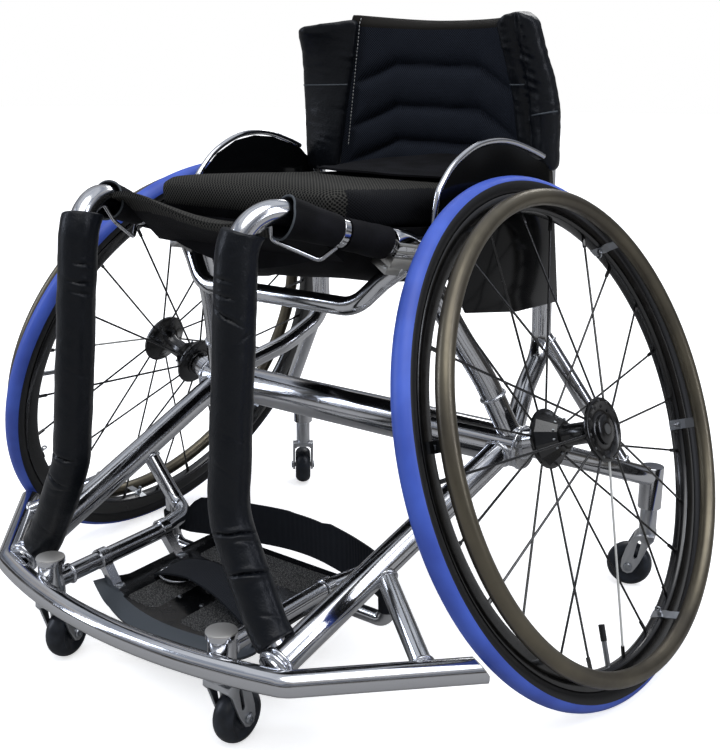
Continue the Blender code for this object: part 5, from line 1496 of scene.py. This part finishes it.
cushion_shell = puffed(ringed(cushion_rings, spacer), 0.0058, 2.6, 0.0045, spacer, cushion_hold)
charted(cushion_shell)
cushion_shell.materials.append(fine_mesh)
for face in cushion_shell.polygons:
    spot = face.center
    edge = seat_half(min(SEAT_REAR_Y, max(SEAT_FRONT_Y, spot.y))) - abs(spot.x)
    if edge < SIDE_PANEL and spot.y > side_seam(spot.z):
        face.material_index = 1
cushion = piece("cushion", cushion_shell, "frame", "black_cloth", "seat_cushion")


def surface_of(mesh):
    """A finder of places on a mesh."""
    bm = bmesh.new()
    bm.from_mesh(mesh)
    finder = BVHTree.FromBMesh(bm)
    bm.free()
    return finder


# The sling hangs under the cushion as a trough, puckered along the cross tube that lifts it.
sling_rings = []
for i in range(61):
    share = i / 60
    y = SEAT_FRONT_Y + (SEAT_REAR_Y - SEAT_FRONT_Y) * share
    half = seat_half(y) - 0.0004
    top = cushion_bottom(y) - 0.0004
    bottom = top - 0.056 - 0.012 * math.sin(math.pi * min(1, 2 * share))
    bottom -= 0.024 * max(0.0, (y + 0.100) / (SEAT_REAR_Y + 0.100))
    lifted = math.exp(-(((y + 0.135) / 0.017) ** 2))
    bottom += max(0.0, 0.4515 - bottom) * lifted
    ring = [Vector((half * (1 - j / 5), y, top)) for j in range(11)]
    low_side = [(-half, top - 0.020), (-half + 0.002, top - 0.034), (-half + 0.012, bottom + 0.006)]
    low_side += [(-half + 0.026, bottom + 0.002), (-half + 0.045, bottom)]
    ring += [Vector((x, y, z)) for x, z in low_side]
    ring += [Vector((x, y, bottom)) for x in (-0.06, -0.03, 0.0, 0.03, 0.06)]
    ring += [Vector((-x, y, z)) for x, z in reversed(low_side)]
    shallow = max(0.0, 1 - share / 0.45) ** 1.5
    for p in ring[11:]:
        p.z += shallow * 0.030 * (abs(p.x) / half) ** 1.5
        p.z += 0.0016 * waves(p, 5.0, 0.035) + 0.0008 * waves((p.x * 4, p.y, p.z), 6.0, 0.02)
    sling_rings.append(ring)
sling_parts = [ringed(sling_rings, canvas)]


def cuff(side, low_y, high_y, bag, seed):
    """A cloth sleeve round the rail that opens towards low_y, with its mouth bagging down."""
    rings = []
    steps = 26
    for inner in (0, 1):
        row = []
        for i in range(steps + 1):
            share = i / steps
            y = high_y + (low_y - high_y) * share
            spot = point_at(RAIL_LINE, y)
            along = (point_at(RAIL_LINE, y - 0.003) - point_at(RAIL_LINE, y + 0.003)).normalized()
            across = (Vector((1, 0, 0)) - along * along.x).normalized()
            up = across.cross(along)
            up *= math.copysign(1, up.z)
            ring = []
            for k in range(48):
                turn = 2 * math.pi * k / 48
                sag = bag * share**1.4 * max(0.0, -math.sin(turn) + 0.3 * abs(math.cos(turn)))
                out = across * math.cos(turn) + up * math.sin(turn)
                ripple = 0.0007 * waves(spot + out * 0.02, seed, 0.016)
                reach = 0.0170 + 0.001 * share + sag + ripple - 0.0022 * inner
                ring.append(spot + out * reach - along * (0.003 * share * math.sin(turn)))
            row.append(sided(ring, side))
        rings.append(row)
    outer, inner = rings
    return ringed(outer + inner[::-1], canvas, 60, looped=True), outer[-1]


for side in (1, -1):
    front_cuff, mouth = cuff(side, -0.262, -0.2045, 0.009, 2.0)
    rear_cuff, _ = cuff(side, -0.142, -0.1952, 0.0, 4.0)
    sling_parts += [front_cuff, rear_cuff]
    sling_parts.append(tube(mouth, 0.0011, piping, 8, closed=True))

# The front band sags between the cuffs. Its hem is a mesh strip and its face is canvas.
APRON = ((-0.182, 0.0, 0.030), (-0.212, 0.006, 0.018), (-0.240, 0.011, 0.010), (-0.268, 0.016, 0.006))
apron_rings = []
for (y0, sag0, thick0), (y1, sag1, thick1) in zip(APRON, APRON[1:]):
    for i in range(8):
        t = i / 8
        apron_rings.append((y0 + (y1 - y0) * t, sag0 + (sag1 - sag0) * t, thick0 + (thick1 - thick0) * t))
apron_rings.append(APRON[-1])
shell = []
for y, sag, thick in apron_rings:
    edge = point_at(RAIL_LINE, y)
    half = edge.x - 0.0142
    top = min(edge.z, edge.z - 0.004 + sag) + 0.004
    bowed = -0.010 * min(1.0, max(0.0, (-0.182 - y) / 0.030))
    ring = []
    for j in range(41):
        share = 1 - j / 20
        fold = 0.0014 * waves((share * 3, y * 20, 0.0), 7.0, 1.0)
        skew = (1 - share**2) * (0.42 + 0.95 * share)
        ring.append(Vector((half * share, y + bowed * (1 - share**2), top - 1.9 * sag * skew + fold)))
    under = [p - Vector((0, 0, thick * 0.96)) for p in reversed(ring)]
    shell.append(ring + under)
apron = ringed(shell, canvas)
apron.materials.append(spacer)
charted(apron)
for face in apron.polygons:
    if face.center.y < -0.236 or face.normal.z > 0.6:
        face.material_index = 1
sling_parts.append(apron)
sling = piece("sling", joined(sling_parts), "frame", "black_cloth", "seat_sling")

# The backrest is a quilted pad of fine black spacer mesh slung between the canes. Its panels are
# foam, sewn down along four channels, and a flat hem with a white lock stitch runs up one side.
quilt = meshwork("fine navy-black spacer mesh", 0.0030, 0.0034, "#020203", "#2b313d")

# The hem's binding is twill tape, browner than the mesh.
binding = patterned(
    "black twill binding", "#17140f", 0.8, 0.0,
    ("Wave", dict(bands_direction="DIAGONAL", Scale=240.0, Distortion=0.6), "Normal", 0.0003),
    Specular_IOR_Level=0.25
)

# The lock stitch is a pale, twisted thread.
thread = patterned(
    "white bonded nylon thread", "#c9cac8", 0.6, 0.0,
    ("Wave", dict(bands_direction="DIAGONAL", Scale=900.0), "Normal", 0.0001)
)

BACK_FRONT = 0.166
BACK_TOP = 0.750
BACK_BOTTOM = 0.520
CHANNELS = (0.691, 0.636, 0.589, 0.543)


def back_half(z):
    """Half the width of the centre pad, which narrows towards the top."""
    return 0.137 - 0.145 * (z - 0.598)


def hem_line(z):
    """Where the lock stitch runs, between the right hem and the panels."""
    return -0.1065 - 0.150 * (0.752 - z)


def channel_gap(x, z):
    """How far a place on the pad is from the nearest sewn channel, each bent down at its sides."""
    flat = 0.062 if x < 0 else 0.076
    drop = 0.021 * max(0.0, (abs(x) - flat) / 0.043) ** 0.92 + 0.030 * x
    return min(min(abs(z + drop - channel) for channel in CHANNELS), abs(x - hem_line(z)))


def right_edge(z):
    """The pad's edge on the sitter's left, under the wing's inner roll."""
    return back_half(z) + 0.016 + 0.035 * (z - 0.52)


def quilt_mesh():
    """The pad as a closed shell, hung back between the canes, with its panels puffed."""
    wide, tall = 118, 112
    grids = []
    for front in (True, False):
        grid = []
        for j in range(tall + 1):
            v = j / tall
            z = BACK_BOTTOM + (BACK_TOP - BACK_BOTTOM) * v
            row = []
            for i in range(wide + 1):
                half = back_half(z) if i < wide / 2 else right_edge(z)
                x = half * (2 * i / wide - 1)
                edge = abs(x) / half
                y = BACK_FRONT + 0.038 * (1 - edge**3)
                dip = 0.006 * v**6 * (1 - edge**2) - 0.0095 * v**4 * max(0.0, 0.55 - 0.55 * x / half)
                if front:
                    near = channel_gap(x, z)
                    puff = 0.0105 * (1 - math.exp(-((near / 0.0072) ** 1.1))) * (1 - edge**8)
                    if x < hem_line(z):
                        puff *= 0.3
                    puff += 0.0012 * waves((x, 0, z), 4.0, 0.03) * (1 - edge**8)
                    rim = max(0.0, (v - 0.955) / 0.045)
                    y += -puff * (1 - rim**2) + 0.004 * rim**2 + 0.0015
                else:
                    y += 0.0225
                    y -= 0.004 * max(0.0, (v - 0.955) / 0.045) ** 2
                row.append((x, y, z - dip))
            grid.append(row)
        grids.append(grid)
    made = sheeted(grids, 70, quilt, binding)
    charted(made)
    for face in made.polygons:
        if face.index // wide % tall > tall - 7 or face.center.z > BACK_TOP:
            face.material_index = 1
    return made


def laid_on(finder, points, lift):
    """Points dropped onto a surface from in front, and lifted off it a little."""
    found = []
    for x, z in points:
        spot, normal, _, _ = finder.ray_cast(Vector((x, -0.2, z)), Vector((0, 1, 0)))
        if spot is not None:
            found.append(spot + Vector((0, -lift, 0)))
    return found


def stitch_tree():
    """Geometry Nodes: a row of stitches along the piece's own edges, each a short rod."""
    made, given = started_tree(
        "stitches", Line="Geometry", Pitch="Float", Length="Float", Radius="Float", Finish="Material"
    )
    line = add_node(made, "GeometryNodeMeshToCurve", Mesh=given["Line"])
    points = add_node(
        made, "GeometryNodeCurveToPoints", {"mode": "LENGTH"}, Curve=line, Length=given["Pitch"]
    )
    rod = add_node(
        made, "GeometryNodeMeshCylinder", Vertices=6, Radius=given["Radius"], Depth=given["Length"]
    )
    set_out = add_node(
        made, "GeometryNodeInstanceOnPoints", Points=points, Instance=rod,
        Rotation=points.outputs["Rotation"]
    )
    return ended_tree(made, set_out, given["Finish"])


STITCHES = stitch_tree()


def stitched(path, pitch, length, radius, finish):
    """A row of stitches along a path."""
    edges = [(i, i + 1) for i in range(len(path) - 1)]
    return grow(STITCHES, path, edges, Pitch=pitch, Length=length, Radius=radius, Finish=finish)


quilt_shell = quilt_mesh()
pad_surface = surface_of(quilt_shell)
back = piece("back_quilt", quilt_shell, "frame", "black_vinyl", "back_pad")
seam = [(hem_line(z), z) for z in (0.7545 - 0.0042 * i for i in range(41))]
piece(
    "back_stitching", stitched(laid_on(pad_surface, seam, 0.0002), 0.0048, 0.0031, 0.00055, thread),
    "frame", "black_vinyl"
)

# The wings are the same coated nylon over thick soft foam, folded round the canes and closed behind.
# The right one lies flat over the pad's hem. The left one is rolled in on itself, with a deep fold.
WING_BOTTOM = 0.562
WING_TOP = 0.756
# The heights of the seams across the wings, and across the left one's outer roll
CROSS_SEAM = 0.668
ROLL_SEAM = 0.632
SEAM_REACH = 0.0026


def cane_at(z):
    """The cane's centre line at a height, carried on past its top."""
    runs = list(zip(CANE_LINE, CANE_LINE[1:]))
    for a, b in runs:
        if a.z <= z < b.z and b.z > 0.5:
            return a.lerp(b, (z - a.z) / (b.z - a.z))
    a, b = runs[-1]
    return a.lerp(b, (z - a.z) / (b.z - a.z))


def pad_front(x, z):
    """The front of the centre pad beside its edge, without its puff."""
    edge = min(1.0, abs(x) / back_half(min(z, BACK_TOP)))
    return BACK_FRONT + 0.038 * (1 - edge**3)


def flat_wing(v):
    """The right wing's outline at a share of its height: one flat flap from the cane to the hem."""
    z = WING_BOTTOM - 0.014 * (1 - v) + (WING_TOP - WING_BOTTOM) * v
    cane = cane_at(z)
    radius = 0.0142 + 0.0052 * max(0.0, (v - 0.74) / 0.26) ** 1.5
    inner = 0.1045 + 0.190 * (WING_TOP - z)
    hem = pad_front(inner, z) - 0.0095
    front = cane.y - radius
    ring = [
        (inner + 0.004, pad_front(inner, z) + 0.012), (inner, hem + 0.0035), (inner + 0.002, hem),
        (inner + 0.35 * (cane.x - inner), hem + 0.32 * (front - hem) - 0.0022),
        (inner + 0.70 * (cane.x - inner), hem + 0.68 * (front - hem) - 0.0026), (cane.x + 0.001, front),
        (cane.x + 0.50 * radius, cane.y - 0.88 * radius),
        (cane.x + 0.86 * radius, cane.y - 0.54 * radius), (cane.x + radius, cane.y),
        (cane.x + 0.80 * radius, cane.y + 0.88 * radius), (cane.x, cane.y + 1.28 * radius),
        (cane.x - 0.030, max(BACK_FRONT + 0.019, cane.y + 1.22 * radius))
    ]
    fall = 0.011 * v**5
    outer = cane.x + radius
    return [Vector((-x, y, z - fall * (x - inner) / (outer - inner))) for x, y in ring]


def fold_line(z):
    """Where the left wing is folded in, between its two rolls."""
    return 0.1655 + 0.090 * max(0.0, 0.745 - z)


def rolled_wing(v):
    """The left wing's outline: an inner roll beside the pad, a deep fold and a roll round the cane."""
    z = WING_BOTTOM + (WING_TOP - WING_BOTTOM) * v
    cane = cane_at(z)
    radius = 0.0176
    front = cane.y - radius
    inner = right_edge(min(z, BACK_TOP)) - 0.006
    fold = fold_line(z)
    roll = (fold - inner) / 2
    crest = min(BACK_FRONT - 0.010, front + 0.004) - 0.004 * v
    valley = min(cane.y - 0.0142, crest + 0.017)
    ring = [
        (inner + 0.003, BACK_FRONT + 0.019), (inner, BACK_FRONT + 0.003),
        (inner + 0.10 * roll, crest + 0.62 * roll), (inner + 0.45 * roll, crest + 0.16 * roll),
        (inner + 0.95 * roll, crest), (inner + 1.45 * roll, crest + 0.14 * roll),
        (inner + 1.82 * roll, crest + 0.55 * roll), (fold, valley),
        (fold + 0.0018, front + 0.62 * (valley - front)), (fold + 0.0050, front + 0.0012),
        (cane.x + 0.002, front - 0.0016), (cane.x + 0.50 * radius, cane.y - 0.87 * radius),
        (cane.x + 0.87 * radius, cane.y - 0.50 * radius), (cane.x + radius, cane.y),
        (cane.x + 0.72 * radius, cane.y + 0.72 * radius), (cane.x, cane.y + radius),
        (cane.x - 0.030, max(BACK_FRONT + 0.019, cane.y + 0.9 * radius))
    ]
    shaped = []
    for x, y in ring:
        beyond = max(0.0, x - (fold + 0.002)) / 0.034
        short = max(0.0, (fold - x) / 0.03)
        fall = v**5 * (0.019 * beyond**1.5 + 0.012 * short**1.5)
        shaped.append(Vector((x, y, z - fall)))
    return shaped


def wing_mesh(outline):
    """A closed wing from its outlines, with rounded ends, cut fine enough to swell evenly."""
    levels = 30
    rings = []
    for j in range(levels + 1):
        v = j / levels
        ring = rounded([*outline(v), outline(v)[0]], 4)[:-1]
        centre = sum(ring, Vector()) / len(ring)
        end = min(v, 1 - v) * (WING_TOP - WING_BOTTOM)
        pull = 0.16 * max(0.0, 1 - end / 0.008) ** 2
        rings.append([p.lerp(centre, pull) for p in ring])
    return ringed(rings, vinyl)


def flat_hold(spot):
    """The right wing is sewn along its hem, its cross seam and its ends."""
    hem = 0.1045 + 0.190 * (WING_TOP - spot.z)
    if -spot.x < hem + 0.007 or abs(spot.z - CROSS_SEAM) < SEAM_REACH:
        return 1.0
    return 1.0 if spot.z > WING_TOP - 0.016 or spot.z < WING_BOTTOM + 0.006 else 0.0


def rolled_hold(spot):
    """The left wing is sewn down its fold, across both its rolls and at its ends."""
    fold = fold_line(spot.z)
    if abs(spot.x - fold) < 0.0034 and spot.y < 0.160:
        return 1.0
    if spot.x < fold and abs(spot.z - CROSS_SEAM) < SEAM_REACH:
        return 1.0
    if spot.x > fold + 0.006 and abs(spot.z - ROLL_SEAM) < SEAM_REACH:
        return 1.0
    return 1.0 if spot.z > WING_TOP - 0.010 or spot.z < WING_BOTTOM + 0.006 else 0.0


def wrinkled(mesh, depth, seed):
    """Adds the small wrinkles that run across a soft roll, deeper in some places than in others."""
    normals = [vertex.normal.copy() for vertex in mesh.vertices]
    for vertex, normal in zip(mesh.vertices, normals):
        x, y, z = vertex.co
        small = waves((0.5 * x, 0.5 * y, 1.7 * z + 0.35 * x), seed, 0.013)
        large = waves((0.6 * x, 0.6 * y, 1.2 * z), seed + 5, 0.030)
        vertex.co += normal * depth * (0.7 * small * abs(large) * 2 + 0.6 * large)


for side_name, outline, hold in (("right", flat_wing, flat_hold), ("left", rolled_wing, rolled_hold)):
    wing = puffed(wing_mesh(outline), 0.0030, 3.2, 0.0050, vinyl, hold)
    wrinkled(wing, 0.0012 if side_name == "right" else 0.0022, 21.0)
    finder = surface_of(wing)
    made = piece("wing_" + side_name, wing, "frame", "black_vinyl", "back_wing_" + side_name)
    if side_name == "right":
        rows = [[(-0.206 + 0.0022 * i, CROSS_SEAM) for i in range(40)]]
    else:
        rows = [
            [(0.1400 + 0.0018 * i, CROSS_SEAM) for i in range(16)],
            [(0.1780 + 0.0018 * i, 0.631 + 0.0003 * i) for i in range(18)]
        ]
    pipes = []
    for row in rows:
        line = [p for p in laid_on(finder, row, -0.0001) if p.y < 0.176]
        pipes.append(tube(line, 0.0011, piping, 8))
    piece("wing_piping_" + side_name, joined(pipes), "frame", "black_vinyl")

# The straps are black nylon webbing 46 and 54 mm wide, and the broad lap belt is doubled canvas.

# Webbing is ribbed across its run, with a faint sheen.
webbing, tree, shader, spot = material(
    "black nylon webbing", "#1a1d23", 0.7, chart="cloth", Specular_IOR_Level=0.25
)
rib = add_node(tree, "ShaderNodeTexWave", {"bands_direction": "Y"}, Vector=spot, Scale=120.0, Distortion=0.4)
add_node(tree, "ShaderNodeBump", into=shader.inputs["Normal"], Distance=0.0003, Height=rib)


def band(rows, thickness, finish):
    """A strap from rows of places across it, with a thickness and a map along its length in metres."""
    grids = []
    for back in (0, 1):
        grid = []
        for i, row in enumerate(rows):
            ahead = rows[min(i + 1, len(rows) - 1)][len(row) // 2] - rows[max(i - 1, 0)][len(row) // 2]
            across = row[-1] - row[0]
            normal = across.cross(ahead).normalized()
            grid.append([p + normal * thickness * (0.5 - back) for p in row])
        grids.append(grid)
    made = sheeted(grids, 50, finish)
    wide = (rows[0][-1] - rows[0][0]).length
    long = sum((b[0] - a[0]).length for a, b in zip(rows, rows[1:]))
    chart = made.uv_layers.new(name="cloth")
    for loop in made.loops:
        i, j = divmod(loop.vertex_index % (len(rows) * len(rows[0])), len(rows[0]))
        chart.data[loop.index].uv = (wide * j / (len(rows[0]) - 1), long * i / (len(rows) - 1))
    return made


# The lap belt's broad flap comes forward from the foot of the backrest over the rear of the cushion.
# Its front corner is cut slanting, and its edge curls up off the mesh.
FLAP_FRONT = rounded(
    [(-0.022, -0.026, 0), (0.010, -0.046, 0), (0.055, -0.049, 0), (0.105, 0.000, 0), (0.142, 0.050, 0)],
    12
)
FLAP_REAR = rounded(
    [
        (-0.082, 0.088, 0.566), (-0.050, 0.140, 0.571), (0.000, 0.166, 0.574), (0.060, 0.160, 0.578),
        (0.120, 0.140, 0.572)
    ],
    12
)
rows = []
for i, (front, rear) in enumerate(zip(FLAP_FRONT, FLAP_REAR)):
    u = i / (len(FLAP_FRONT) - 1)
    row = []
    for j in range(25):
        v = j / 24
        x = front.x + (rear.x - front.x) * v
        y = front.y + (rear.y - front.y) * v
        base = cushion_top(x, min(y, SEAT_REAR_Y - 0.02)) + 0.0042
        lift = 0.0055 * math.exp(-v / 0.12) * (1 - 0.6 * u) + 0.005 * math.sin(math.pi * v) * (1 - u)
        climb = max(0.0, rear.z - base) * v**2.2
        ripple = 0.0016 * waves((x, y, 0.0), 11.0, 0.05)
        row.append(Vector((x, y, base + lift + climb + ripple)))
    rows.append(row)
belt = piece("lap_belt", band(rows, 0.0024, canvas), "frame", "black_cloth", "lap_strap")

# The foot strap crosses the plate and rises over the instep.
rows = []
for i in range(61):
    u = i / 60
    x = 0.095 * (2 * u - 1)
    arch = 0.024 * (1 - (2 * u - 1) ** 2)
    sway = 0.0012 * waves((x, 0.0, 0.0), 13.0, 0.04)
    row = []
    for j in range(9):
        v = j / 8
        cup = 0.0012 * (1 - (2 * v - 1) ** 2)
        height = PLATE_TOP + 0.0018 + arch + sway * math.sin(math.pi * u) + cup
        row.append(Vector((x, -0.292 - 0.15 * x + 0.046 * v, height)))
    rows.append(row)
foot = piece("foot_webbing", band(rows, 0.0024, webbing), "frame", "black_cloth", "foot_strap")

# The calf strap goes round both legs of the calf bar and sags back between them.
half_line = []
for t in range(-120, 91, 15):
    turn = math.radians(t)
    half_line.append((0.182 + 0.0112 * math.cos(turn), -0.165 + 0.0112 * math.sin(turn)))
half_line += [(0.165, -0.1515), (0.140, -0.138), (0.112, -0.128), (0.085, -0.120), (0.036, -0.109)]
flat_line = half_line + [(0.0, -0.106)] + [(-x, y) for x, y in reversed(half_line)]
line = rounded([(x, y, 0.0) for x, y in flat_line], 3)
rows = []
for p in line:
    top = 0.141 - 0.018 * min(1.0, max(0.0, (abs(p.x) - 0.152) / 0.016))
    top += 0.0042 if p.x > 0.039 else 0.0012 * (p.x < -0.023)
    low = 0.087 + 0.005 * min(1.0, max(0.0, (abs(p.x) - 0.120) / 0.052))
    sway = 0.0010 * waves((p.x, 0.0, 0.0), 17.0, 0.03)
    rows.append(
        [Vector((p.x, p.y + sway * math.sin(3.1 * j / 8), low + (top - low) * j / 8)) for j in range(9)]
    )
calf = piece("calf_webbing", band(rows, 0.0024, webbing), "frame", "black_cloth", "calf_strap")
